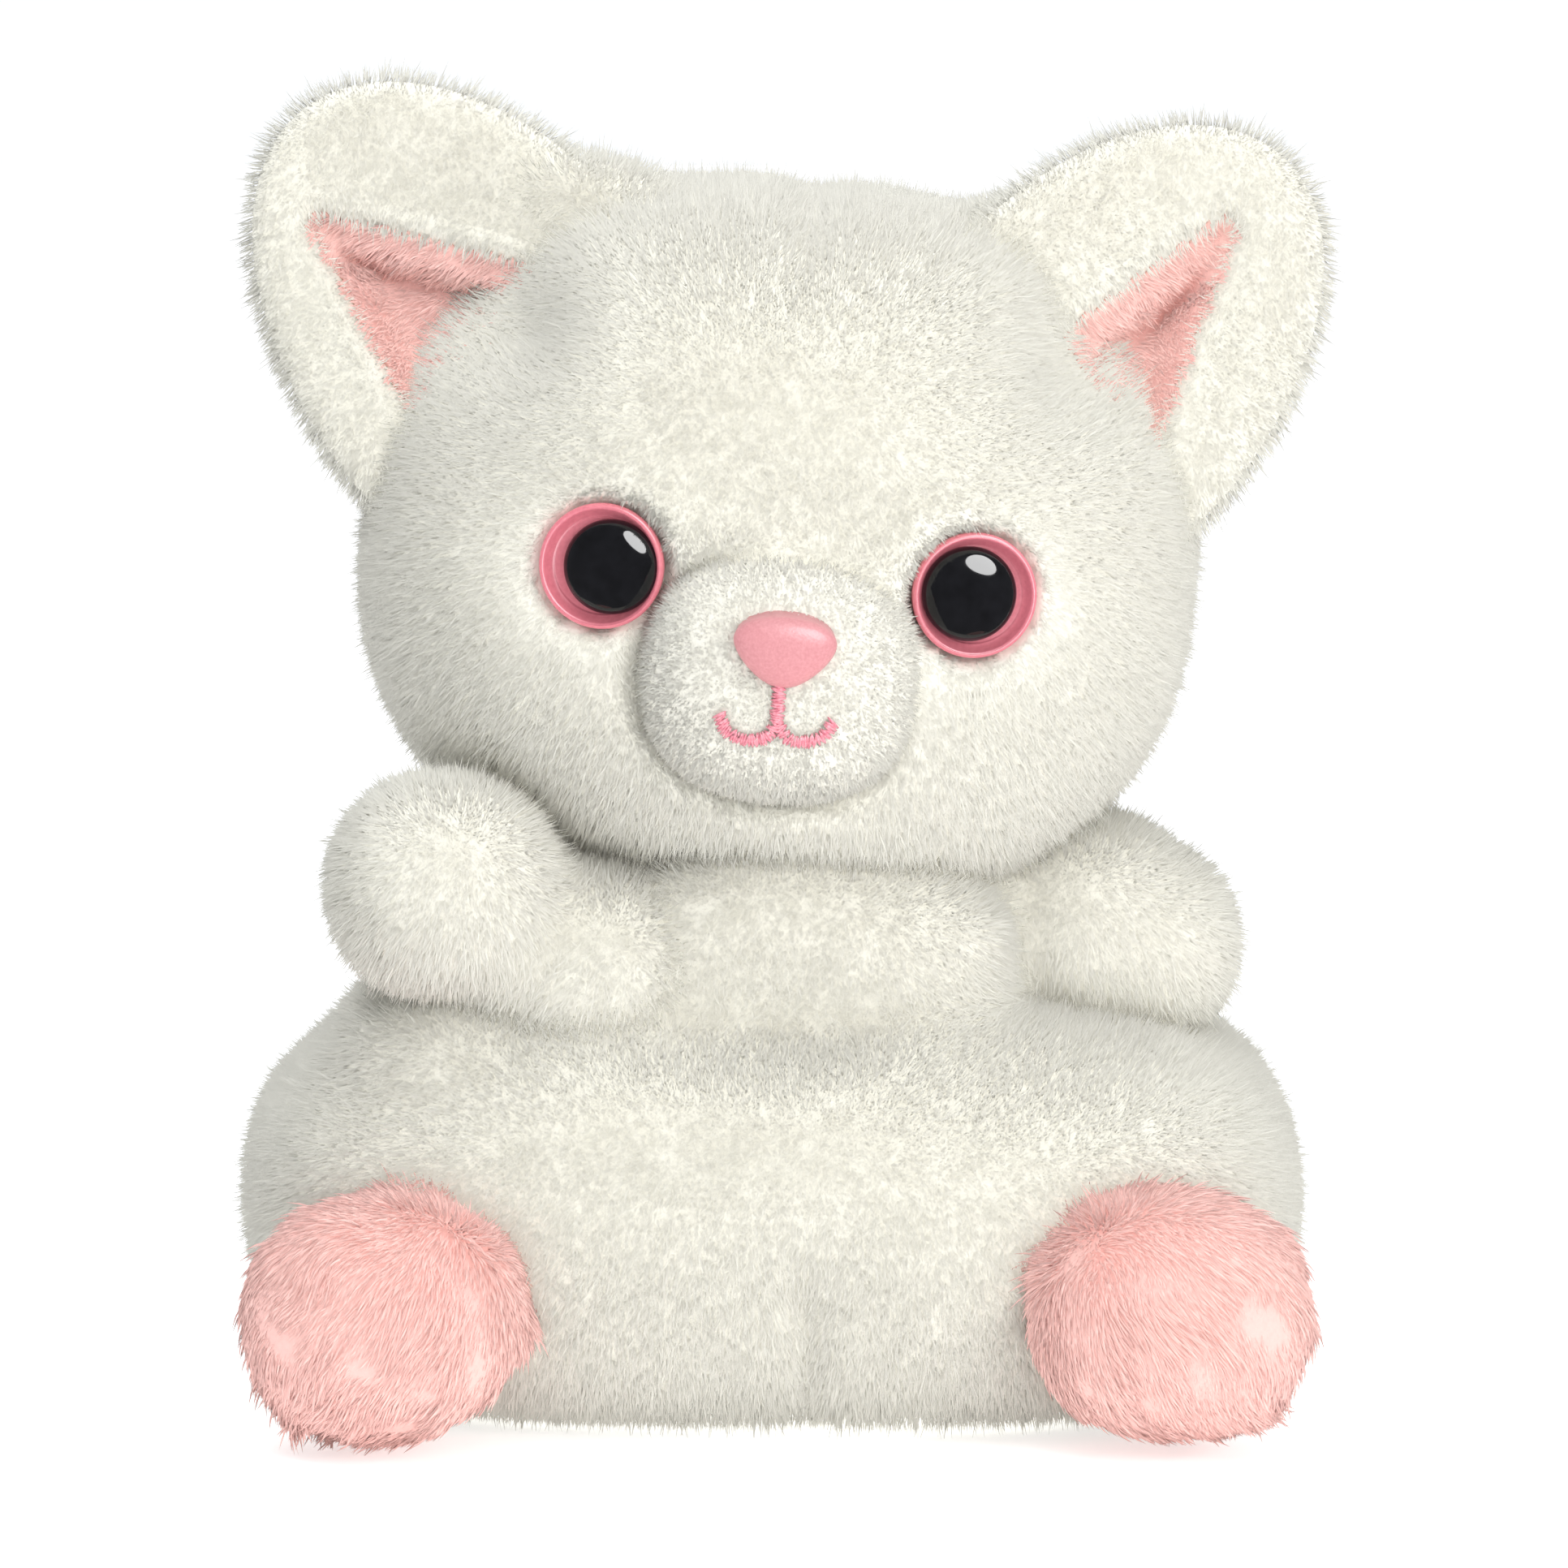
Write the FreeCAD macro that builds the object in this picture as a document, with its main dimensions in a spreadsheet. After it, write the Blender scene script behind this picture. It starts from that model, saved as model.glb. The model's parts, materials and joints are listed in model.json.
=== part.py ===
"""A sitting palm-size plush cat, bean filled, as separate sewn, stuffed and moulded pieces.

Millimetres.  +Z is up, the face looks along -Y, and the origin is the middle of the flat base
that the toy sits on.  Left and right are as seen from the front, so left pieces have x < 0.
"""
import FreeCAD, Part
import Sketcher
import math
import os

from FreeCAD import Placement, Rotation, Vector

X_AXIS = Vector(1, 0, 0)
Y_AXIS = Vector(0, 1, 0)
Z_AXIS = Vector(0, 0, 1)
UPRIGHT = Rotation()
LEFT = -1
RIGHT = 1

# Corners of a limb's outline, as shares of the radius or height they belong to.
ON_DIAGONAL = 0.7
NECK_RISE = 1.6
CHEEK_WIDE = 0.9
CHEEK_DOWN = 0.5
BROW_WIDE = 0.75
BROW_UP = 0.66

# alias, value, what it is
SIZES = [
    ("cover_thick", 2.0, "pile fabric, backing and laid pile together"),
    ("joint_gap", 0.4, "air between a limb's rounded root and its socket"),
    ("touch_gap", 0.05, "air between pieces that lie on each other"),
    ("far_reach", 160, "side of the blocks that halve a form"),
    ("head_wide", 76, "head, across"),
    ("head_deep", 60, "head, front to back"),
    ("head_tall", 64, "head, chin to crown"),
    ("head_up", 84, "height of the head's middle"),
    ("head_roll", 4.7, "lean of the head to the right, degrees"),
    ("head_seam", 3, "seam between face and back of head, behind the middle"),
    ("neck_up", 50, "height of the neck pivot"),
    ("neck_back", 2, "neck pivot behind the middle"),
    ("neck_socket", 17, "radius of the hollow under the head"),
    ("neck_pad_thick", 1.1, "stuffing pad in the neck"),
    ("neck_pad_rise", 5, "lower edge of the neck pad above the pivot"),
    ("neck_ring_wide", 12, "radius of the gathering thread's ring"),
    ("neck_ring_rise", 8.5, "gathering thread above the pivot"),
    ("neck_thread", 0.6, "radius of the gathering thread, several turns"),
    ("neck_dome", 13.6, "radius of the torso's rounded top"),
    ("muzzle_wide", 26, "muzzle, across"),
    ("muzzle_tall", 23, "muzzle, up"),
    ("muzzle_deep", 22, "muzzle form, front to back, mostly inside the face"),
    ("muzzle_fore", 24.5, "muzzle's middle before the head's"),
    ("muzzle_drop", 11, "muzzle's middle below the head's"),
    ("muzzle_side", 1, "muzzle's middle beside the head's"),
    ("nose_tall", 7.2, "nose, up"),
    ("nose_proud", 3.2, "nose before the muzzle's front"),
    ("nose_drop", 7.2, "nose below the head's middle"),
    ("nose_dome_wide", 11.5, "rounded form that gives the nose its crown, across"),
    ("nose_dome_tall", 9, "the same form, up"),
    ("nose_top_arc", 8.35, "radius of the nose's top edge"),
    ("nose_top_drop", 5, "middle of that edge's arc below the nose's middle"),
    ("nose_side_arc", 7.9, "radius of the nose's slanting edges"),
    ("nose_side_in", 3, "middles of those arcs beyond the nose's middle"),
    ("nose_side_rise", 3.1, "middles of those arcs above the nose's middle"),
    ("nose_post", 1.25, "radius of the nose's post"),
    ("nose_post_long", 9, "length of the nose's post"),
    ("nose_post_start", 1, "start of the post before the muzzle's front"),
    ("nose_post_clear", 3, "room for the post before the muzzle's front"),
    ("nose_washer", 3.6, "radius of the nose's lock washer"),
    ("thread_wide", 0.85, "width of the mouth's stitching"),
    ("thread_proud", 0.5, "height of the mouth's stitching"),
    ("mouth_drop", 15.2, "middle of the mouth's arcs below the head's middle"),
    ("mouth_arc", 2.75, "radius of each mouth arc"),
    ("mouth_side", 1, "mouth beside the head's middle"),
    ("eye_lip", 6.1, "radius of the eye's rim"),
    ("eye_bowl", 5.6, "radius of the bowl's mouth"),
    ("eye_floor", 4.7, "radius of the bowl's floor"),
    ("eye_back", 1.0, "back of the bowl under the fabric's face"),
    ("eye_deep", 0.3, "floor of the bowl under the fabric's face"),
    ("eye_proud", 0.7, "rim above the fabric's face"),
    ("eye_shank", 1.6, "radius of the shank"),
    ("eye_shank_long", 10, "shank behind the bowl"),
    ("eye_washer", 5, "radius of the lock washer"),
    ("washer_thick", 1, "thickness of the lock washers"),
    ("washer_deep", 2.3, "lock washer's outer face under the fabric's face"),
    ("pupil_wide", 4.5, "radius of the pupil"),
    ("pupil_tall", 2.7, "height of the pupil's dome"),
    ("eye_out", 12, "turn of each eye outwards, degrees"),
    ("eye_drop", 2, "eyes below the head's middle"),
    ("left_eye_side", 16.7, "left eye beside the head's middle"),
    ("right_eye_side", 18.8, "right eye beside the head's middle"),
    ("ear_thick", 9, "ear, front to back"),
    ("ear_gap", 1.6, "air between ear and head, for the fold"),
    ("left_ear_wide", 37, "left ear, across its root"),
    ("left_ear_long", 30.5, "left ear, root to tip"),
    ("left_ear_side", 27.5, "middle of the left ear's root beside the head's middle"),
    ("left_ear_rise", 14.5, "middle of the left ear's root above the head's middle"),
    ("left_ear_lean", 45, "left ear from upright, degrees"),
    ("right_ear_wide", 35, "right ear, across its root"),
    ("right_ear_long", 28.5, "right ear, root to tip"),
    ("right_ear_side", 27.5, "middle of the right ear's root beside the head's middle"),
    ("right_ear_rise", 17, "middle of the right ear's root above the head's middle"),
    ("right_ear_lean", 39, "right ear from upright, degrees"),
    ("lining_wide", 20, "ear lining, across"),
    ("lining_long", 24, "ear lining, root to tip"),
    ("lining_thick", 5, "ear lining, with its padding"),
    ("lining_fore", 4, "middle of the lining before the ear's"),
    ("lining_out", 13, "middle of the lining from the ear's root"),
    ("torso_wide", 46, "torso, across"),
    ("torso_deep", 38, "torso, front to back"),
    ("torso_tall", 40, "torso form, its lower part inside the seat"),
    ("torso_up", 35, "height of the torso's middle"),
    ("torso_back", 1, "torso's middle behind the base's"),
    ("seat_wide", 102, "seat, across"),
    ("seat_deep", 76, "seat, front to back"),
    ("seat_tall", 42, "seat form, before its base is flat"),
    ("seat_up", 18, "height of the seat's widest line"),
    ("seat_back", 3, "seat's middle behind the base's"),
    ("pouch_wide", 52, "bean pouch, across"),
    ("pouch_deep", 38, "bean pouch, front to back"),
    ("pouch_tall", 18, "bean pouch, up"),
    ("pouch_up", 12.5, "height of the pouch's middle"),
    ("pouch_thick", 0.8, "pouch cloth"),
    ("pellet_wide", 3.8, "diameter of a pellet"),
    ("pellet_step", 4.4, "distance between pellets"),
    ("arm_root", 7.8, "radius of an arm's rounded root"),
    ("arm_neck", 6.8, "radius of an arm beside its root"),
    ("paw_wide", 21.6, "paw, across"),
    ("paw_long", 19, "paw, along the arm"),
    ("shoulder_up", 43, "height of the shoulder pivots"),
    ("shoulder_side", 20, "shoulder pivots beside the middle"),
    ("shoulder_fore", 2, "shoulder pivots before the middle"),
    ("arm_cover", 1.6, "arm's fabric"),
    ("arm_room", 2.2, "torso and seat hollow beside an arm, on each side"),
    ("left_paw_side", 31.5, "left paw beside the middle"),
    ("left_paw_fore", 19, "left paw before the middle"),
    ("left_paw_up", 52.5, "height of the left paw"),
    ("right_paw_side", 33.5, "right paw beside the middle"),
    ("right_paw_fore", 1, "right paw before the middle"),
    ("right_paw_up", 46.5, "height of the right paw"),
    ("foot_wide", 27.5, "foot, across"),
    ("foot_deep", 27, "foot, front to back"),
    ("foot_tall", 24, "foot, up"),
    ("foot_side", 37.2, "foot beside the middle"),
    ("foot_fore", 33.5, "foot before the middle"),
    ("foot_up", 12.3, "height of the foot's middle"),
    ("foot_room", 5.5, "seat hollow around a foot, wider than the foot by this"),
    ("foot_seam", 4, "seam between a foot's pad and its back, behind its middle"),
    ("ankle_fore", 24, "ankle pivot before the middle"),
    ("ankle_socket", 11.5, "radius of the hollow that a foot sits in"),
    ("tail_root", 5.5, "radius of the tail's rounded root"),
    ("tail_long", 30, "tail, root to tip"),
    ("tail_up", 14, "height of the tail's pivot"),
    ("tail_back", 46.5, "tail's pivot behind the middle"),
    ("tail_lean", 3, "lean of the tail away from the back, degrees"),
    ("tail_tip", 4, "radius of the tail's rounded tip"),
    ("label_wide", 10, "care label, across"),
    ("label_long", 14, "care label, down"),
    ("label_thick", 0.4, "care label"),
    ("label_side", 16, "care label beside the middle"),
    ("label_up", 4, "care label's lower edge above the base"),
]

doc = FreeCAD.newDocument("plush_cat")
sheet = doc.addObject("Spreadsheet::Sheet", "Sizes")
parts = []


def fill_sheet():
    for row, (alias, value, note) in enumerate(SIZES, start=1):
        sheet.set(f"A{row}", alias)
        sheet.set(f"B{row}", str(value))
        sheet.setAlias(f"B{row}", alias)
        sheet.set(f"C{row}", note)
    doc.recompute()


def size(alias):
    """A driving dimension, as a number."""
    return float(sheet.get(alias))


def bind(item, **expressions):
    """Bind properties to expressions, in which a bare word is a cell of the sheet."""
    aliases = sorted((row[0] for row in SIZES), key=len, reverse=True)
    for name, text in expressions.items():
        words = str(text).split(" ")
        bound = ["Sizes." + word if word in aliases else word for word in words]
        item.setExpression(name, " ".join(bound))
    return item


def ellipsoid(name, wide, deep, tall, at=Vector(), turn=UPRIGHT):
    """An ellipsoid from the expressions of its three whole widths along X, Y and Z."""
    item = doc.addObject("Part::Ellipsoid", name)
    item.Placement = Placement(at, turn)
    return bind(item, Radius1=f"( {tall} ) / 2", Radius2=f"( {wide} ) / 2", Radius3=f"( {deep} ) / 2")


def ball(name, radius, at=Vector()):
    item = doc.addObject("Part::Sphere", name)
    item.Placement = Placement(at, UPRIGHT)
    return bind(item, Radius=radius)


def rod(name, radius, length, at=Vector(), turn=UPRIGHT):
    """A cylinder that starts at a point and runs along its own Z."""
    item = doc.addObject("Part::Cylinder", name)
    item.Placement = Placement(at, turn)
    return bind(item, Radius=radius, Height=length)


def block(name, corner, turn=UPRIGHT, tall="far_reach"):
    """A large block that reaches from a corner along its own X, Y and Z."""
    item = doc.addObject("Part::Box", name)
    item.Placement = Placement(corner, turn)
    return bind(item, Length="far_reach", Width="far_reach", Height=tall)


def cut(name, base, tool):
    item = doc.addObject("Part::Cut", name)
    item.Base = base
    item.Tool = tool
    return item


def common(name, base, tool):
    item = doc.addObject("Part::Common", name)
    item.Base = base
    item.Tool = tool
    return item


def fuse(name, shapes):
    item = doc.addObject("Part::MultiFuse", name)
    item.Shapes = shapes
    return item


def part(item, name, placement=Placement()):
    """Make an object a sub-part: its label names its file, and its placement puts it in the toy."""
    item.Label = name
    item.Placement = placement
    parts.append(item)
    return item


def origin_plane(body, role):
    return next(plane for plane in body.Origin.OriginFeatures if plane.Role == role)


def new_sketch(body, name, role):
    sketch = body.newObject("Sketcher::SketchObject", name)
    sketch.AttachmentSupport = [(origin_plane(body, role), "")]
    sketch.MapMode = "FlatFace"
    return sketch


def dimension(sketch, expression, *constraint):
    """Add a dimension to a sketch and bind it to an expression."""
    number = sketch.addConstraint(Sketcher.Constraint(*constraint))
    bind(sketch, **{f"Constraints[{number}]": expression})


def outline(sketch, corners):
    """A closed outline of straight edges whose corners are pairs of expressions."""
    count = len(corners)
    guess = [Vector(1 + 3 * math.cos(6.28 * i / count), 5 + 3 * math.sin(6.28 * i / count), 0)
             for i in range(count)]
    for i in range(count):
        sketch.addGeometry(Part.LineSegment(guess[i], guess[(i + 1) % count]), False)
    for i in range(count):
        sketch.addConstraint(Sketcher.Constraint("Coincident", i, 2, (i + 1) % count, 1))
    for i, (across, up) in enumerate(corners):
        if across == "0":
            sketch.addConstraint(Sketcher.Constraint("PointOnObject", i, 1, -2))
        else:
            dimension(sketch, across, "DistanceX", -1, 1, i, 1, 1.0)
        if up == "0":
            sketch.addConstraint(Sketcher.Constraint("PointOnObject", i, 1, -1))
        else:
            dimension(sketch, up, "DistanceY", -1, 1, i, 1, 1.0)


def turned(name, corners, placement):
    """A body turned about its own Z from an outline of radius and height."""
    body = doc.addObject("PartDesign::Body", name)
    sketch = new_sketch(body, name + "_profile", "XZ_Plane")
    outline(sketch, corners)
    solid = body.newObject("PartDesign::Revolution", name + "_turn")
    solid.Profile = sketch
    solid.ReferenceAxis = (sketch, ["V_Axis"])
    solid.Angle = 360
    return part(body, name, placement)


def washer(name, outside, inside, placement):
    """A flat lock washer whose lower face is at its own origin."""
    body = doc.addObject("PartDesign::Body", name)
    sketch = new_sketch(body, name + "_rings", "XY_Plane")
    for number, radius in enumerate((outside, inside)):
        sketch.addGeometry(Part.Circle(Vector(), Z_AXIS, 2.0 + number), False)
        sketch.addConstraint(Sketcher.Constraint("Coincident", number, 3, -1, 1))
        dimension(sketch, radius, "Radius", number, 2.0)
    solid = body.newObject("PartDesign::Pad", name + "_plate")
    solid.Profile = sketch
    bind(solid, Length="washer_thick")
    return part(body, name, placement)


def head_frame():
    """Where the head's own frame, at its middle and leaning with it, lies in the toy."""
    return Placement(Vector(0, 0, size("head_up")), Rotation(Y_AXIS, size("head_roll")))


def neck_pivot():
    return Vector(0, size("neck_back"), size("neck_up"))


def face_depth(across, up):
    """How far before the head's middle its front surface lies, in the head's frame."""
    share = (2 * across / size("head_wide")) ** 2 + (2 * up / size("head_tall")) ** 2
    return size("head_deep") / 2 * math.sqrt(1 - share)


def eye_frame(side):
    """An eye's own frame in the head's: its Z looks out of the face."""
    across = side * size("left_eye_side" if side == LEFT else "right_eye_side")
    up = -size("eye_drop")
    look_forward = Rotation(X_AXIS, 90)
    look_out = Rotation(Z_AXIS, side * size("eye_out"))
    return Placement(Vector(across, -face_depth(across, up), up), look_out.multiply(look_forward))


def name_of(side):
    return "left" if side == LEFT else "right"


def behind(placement, depth):
    """A placement moved back along its own Z."""
    return placement.multiply(Placement(Vector(0, 0, -depth), UPRIGHT))


def eye_cavity(side):
    """The room that an eye's bowl, shank and washer take from the head, in the head's frame."""
    name = name_of(side) + "_eye"
    frame = eye_frame(side)
    bowl_back = behind(frame, size("eye_back") + size("touch_gap"))
    washer_back = behind(frame, size("washer_deep") + size("washer_thick") + size("touch_gap"))
    shank_end = behind(frame, size("eye_back") + size("eye_shank_long") + size("touch_gap"))
    bowl = rod(name + "_bowl_room", "eye_lip + touch_gap", "eye_back + head_deep / 4",
               bowl_back.Base, bowl_back.Rotation)
    lock = rod(name + "_washer_room", "eye_washer + touch_gap", "washer_thick + touch_gap * 2",
               washer_back.Base, washer_back.Rotation)
    shank = rod(name + "_shank_room", "eye_shank + touch_gap", "eye_shank_long + head_deep / 4",
                shank_end.Base, shank_end.Rotation)
    return fuse(name + "_room", [bowl, lock, shank])


def make_eye(side):
    """A moulded bowl with its shank, a domed pupil in it, and the washer that locks it."""
    name = name_of(side) + "_eye"
    frame = head_frame().multiply(eye_frame(side))
    foot = "eye_shank_long"
    back = foot
    floor = "eye_shank_long + eye_back - eye_deep"
    rim = "eye_shank_long + eye_back + eye_proud"
    corners = [("0", "0"), ("eye_shank", "0"), ("eye_shank", foot), ("eye_lip", back), ("eye_lip", rim),
               ("eye_bowl", rim), ("eye_floor", floor), ("0", floor)]
    turned(name + "_dish", corners, behind(frame, size("eye_back") + size("eye_shank_long")))

    half = size("pupil_wide")
    tall = size("pupil_tall")
    radius = (half ** 2 + tall ** 2) / (2 * tall)
    globe = ball(name + "_globe", "( pupil_wide ^ 2 + pupil_tall ^ 2 ) / ( 2 * pupil_tall )",
                 Vector(0, 0, tall - radius))
    above = rod(name + "_cap_room", "pupil_wide + 1", "pupil_tall + 1")
    part(common(name + "_pupil", globe, above), name + "_pupil",
         behind(frame, size("eye_deep") - size("touch_gap")))
    washer(name + "_washer", "eye_washer", "eye_shank + touch_gap",
           behind(frame, size("washer_deep") + size("washer_thick")))


def muzzle_middle():
    return Vector(size("muzzle_side"), -size("muzzle_fore"), -size("muzzle_drop"))


def nose_middle():
    """The middle of the nose on the muzzle's surface, in the head's frame."""
    muzzle = muzzle_middle()
    up = -size("nose_drop") - muzzle.z
    reach = size("muzzle_deep") / 2 * math.sqrt(1 - (2 * up / size("muzzle_tall")) ** 2)
    return Vector(size("muzzle_side"), muzzle.y - reach, -size("nose_drop"))


def make_nose(muzzle_form):
    """A moulded rounded triangle on a post, wide at the top."""
    middle = nose_middle()
    into = Rotation(X_AXIS, -90)
    start = middle - Vector(0, size("nose_proud") * 2, 0)
    inward, rise = size("nose_side_in"), size("nose_side_rise")
    arcs = [("top", "nose_top_arc", 0, -size("nose_top_drop")), ("left", "nose_side_arc", inward, rise),
            ("right", "nose_side_arc", -inward, rise)]
    edges = [rod("nose_edge_" + which, radius, "nose_post_long * 2", start + Vector(across, 0, up), into)
             for which, radius, across, up in arcs]
    dome = ellipsoid("nose_dome", "nose_dome_wide", "nose_proud * 2", "nose_dome_tall", middle)
    form = doc.addObject("Part::MultiCommon", "nose_form")
    form.Shapes = edges + [dome]
    face = cut("nose_face", form, muzzle_form)
    post = rod("nose_stem", "nose_post", "nose_post_long",
               middle - Vector(0, size("nose_post_start"), 0), into)
    part(fuse("nose", [face, post]), "nose", head_frame())
    lock = middle + Vector(0, size("washer_deep"), 0)
    washer("nose_washer", "nose_washer", "nose_post + touch_gap",
           head_frame().multiply(Placement(lock, into)))


def nose_room():
    """The room that the nose's post and washer take from the muzzle and the head."""
    into = Rotation(X_AXIS, -90)
    middle = nose_middle()
    post = rod("nose_post_room", "nose_post + touch_gap",
               "nose_post_long + nose_post_clear - nose_post_start + touch_gap",
               middle - Vector(0, size("nose_post_clear"), 0), into)
    lock = rod("nose_washer_room", "nose_washer + touch_gap", "washer_thick + touch_gap * 2",
               middle + Vector(0, size("washer_deep") - size("touch_gap"), 0), into)
    return fuse("nose_room", [post, lock])


def make_mouth(muzzle_form):
    """Satin stitching that lies on the muzzle: a short stem and two upturned arcs."""
    muzzle = muzzle_middle()
    layer_form = ellipsoid("mouth_layer_form", "muzzle_wide + thread_proud * 2",
                           "muzzle_deep + thread_proud * 2", "muzzle_tall + thread_proud * 2", muzzle)
    layer = cut("mouth_layer", layer_form, muzzle_form)
    start = muzzle.y - size("muzzle_deep")
    strips = []
    for side in (LEFT, RIGHT):
        name = name_of(side) + "_mouth"
        middle = Vector(size("mouth_side") + side * size("mouth_arc"), start, -size("mouth_drop"))
        arcs = []
        for edge, sign in (("outside", "+"), ("inside", "-")):
            arc = rod(f"{name}_{edge}", f"mouth_arc {sign} thread_wide / 2", "muzzle_deep",
                      middle, Rotation(X_AXIS, -90))
            arc.Angle = 180
            arcs.append(arc)
        strips.append(cut(name + "_arc", arcs[0], arcs[1]))
    stem = doc.addObject("Part::Box", "mouth_stem")
    bind(stem, Length="thread_wide", Width="muzzle_deep", Height="mouth_drop - nose_drop - nose_tall * 0.6")
    stem.Placement = Placement(Vector(size("mouth_side") - size("thread_wide") / 2, start,
                                      -size("mouth_drop")), UPRIGHT)
    strips.append(stem)
    part(common("mouth_embroidery", layer, fuse("mouth_strips", strips)), "mouth_embroidery", head_frame())


def neck_in_head():
    """The neck pivot in the head's frame."""
    return head_frame().inverse().multVec(neck_pivot())


def halves(name, form, seam):
    """The front and the back part of a form, either side of a seam across it."""
    reach = size("far_reach") / 2
    front = block(name + "_front_room", Vector(-reach, seam - size("far_reach"), -reach))
    back = block(name + "_back_room", Vector(-reach, seam, -reach))
    return common(name + "_front_cover", form, front), common(name + "_back_cover", form, back)


def make_head():
    """Face and back panels, their stuffing, and the small stuffed muzzle on the face."""
    outside = ellipsoid("head_form", "head_wide", "head_deep", "head_tall")
    lining = "( cover_thick + touch_gap ) * 2"
    hollow = ellipsoid("head_hollow", "head_wide - cover_thick * 2", "head_deep - cover_thick * 2",
                       "head_tall - cover_thick * 2")
    filling = ellipsoid("head_filling", f"head_wide - {lining}", f"head_deep - {lining}",
                        f"head_tall - {lining}")
    socket = ball("head_socket", "neck_socket", neck_in_head())
    nose_rooms = nose_room()
    rooms = fuse("head_rooms", [eye_cavity(LEFT), eye_cavity(RIGHT), nose_rooms, socket])
    shell = cut("head_shell", cut("head_wall", outside, hollow), rooms)
    for panel in halves("head", shell, size("head_seam")):
        part(panel, panel.Name, head_frame())
    part(cut("head_stuffing", filling, rooms), "head_stuffing", head_frame())

    muzzle = muzzle_middle()
    form = ellipsoid("muzzle_form", "muzzle_wide", "muzzle_deep", "muzzle_tall", muzzle)
    inside = ellipsoid("muzzle_hollow", "muzzle_wide - cover_thick * 2", "muzzle_deep - cover_thick * 2",
                       "muzzle_tall - cover_thick * 2", muzzle)
    filled = ellipsoid("muzzle_filling", f"muzzle_wide - {lining}", f"muzzle_deep - {lining}",
                       f"muzzle_tall - {lining}", muzzle)
    taken = fuse("muzzle_rooms", [outside, nose_rooms])
    part(cut("muzzle_cover", cut("muzzle_wall", form, inside), taken), "muzzle_cover", head_frame())
    part(cut("muzzle_stuffing", filled, taken), "muzzle_stuffing", head_frame())
    make_nose(form)
    make_mouth(form)
    for side in (LEFT, RIGHT):
        make_eye(side)


def ear_frame(side):
    """An ear's own frame in the head's: its Z runs from the root to the tip."""
    name = name_of(side) + "_ear_"
    root = Vector(side * size(name + "side"), 0, size(name + "rise"))
    return Placement(root, Rotation(Y_AXIS, side * size(name + "lean")))


def make_ear(side):
    """A cupped ear of two layers: the outer ear, and a padded lining let into its front."""
    name = name_of(side) + "_ear"
    frame = ear_frame(side)
    form = ellipsoid(name + "_form", name + "_wide", "ear_thick", name + "_long * 2", frame.Base,
                     frame.Rotation)
    head = ellipsoid(name + "_head_room", "head_wide + ear_gap * 2", "head_deep + ear_gap * 2",
                     "head_tall + ear_gap * 2")
    beyond = block(name + "_half_room", frame.multVec(Vector(-size("far_reach") / 2,
                                                             -size("far_reach") / 2, 0)), frame.Rotation)
    blank = common(name + "_blank", cut(name + "_rooted", form, head), beyond)
    front = frame.multVec(Vector(0, -size("lining_fore"), size("lining_out")))
    pad = ellipsoid(name + "_pad", "lining_wide", "lining_thick", "lining_long", front, frame.Rotation)
    part(cut(name + "_outer", blank, pad), name + "_outer", head_frame())
    part(common(name + "_inner", blank, pad), name + "_inner", head_frame())


def make_neck():
    """The thread that gathers the neck, and the stuffing pad above it, round the neck pivot."""
    ring = doc.addObject("Part::Torus", "neck_gathering_thread")
    bind(ring, Radius1="neck_ring_wide", Radius2="neck_thread")
    place = neck_pivot() + Vector(0, 0, size("neck_ring_rise"))
    part(ring, "neck_gathering_thread", Placement(place, UPRIGHT))
    outside = ball("neck_pad_form", "neck_socket - joint_gap")
    inside = ball("neck_pad_hollow", "neck_socket - joint_gap - neck_pad_thick")
    reach = size("far_reach") / 2
    above = block("neck_pad_room", Vector(-reach, -reach, size("neck_pad_rise")))
    part(common("neck_pad", cut("neck_pad_wall", outside, inside), above), "neck_pad",
         Placement(neck_pivot(), UPRIGHT))


def shoulder(side):
    return Vector(side * size("shoulder_side"), -size("shoulder_fore"), size("shoulder_up"))


def paw(side):
    name = name_of(side) + "_paw_"
    return Vector(side * size(name + "side"), -size(name + "fore"), size(name + "up"))


def ankle(side):
    return Vector(side * size("foot_side"), -size("ankle_fore"), size("foot_up"))


def sockets():
    """The hollows in torso and seat that the rounded roots of arms, feet and tail sit in."""
    found = [ball("tail_socket", "tail_root + joint_gap", tail_frame().Base)]
    for side in (LEFT, RIGHT):
        name = name_of(side)
        found.append(ball(name + "_arm_socket", "arm_root + joint_gap", shoulder(side)))
        along = paw(side) - shoulder(side)
        swing = doc.addObject("Part::Cone", name + "_arm_hollow")
        swing.Height = along.Length
        swing.Placement = Placement(shoulder(side), Rotation(Z_AXIS, along))
        bind(swing, Radius1="arm_neck + joint_gap", Radius2="paw_wide / 2 + arm_room")
        found.append(swing)
        found.append(ball(name + "_ankle_socket", "ankle_socket", ankle(side)))
        middle = Vector(side * size("foot_side"), -size("foot_fore"), size("foot_up"))
        found.append(ellipsoid(name + "_foot_hollow", "foot_wide + foot_room", "foot_deep + foot_room",
                               "foot_tall + foot_room", middle))
    return fuse("limb_sockets", found)


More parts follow.
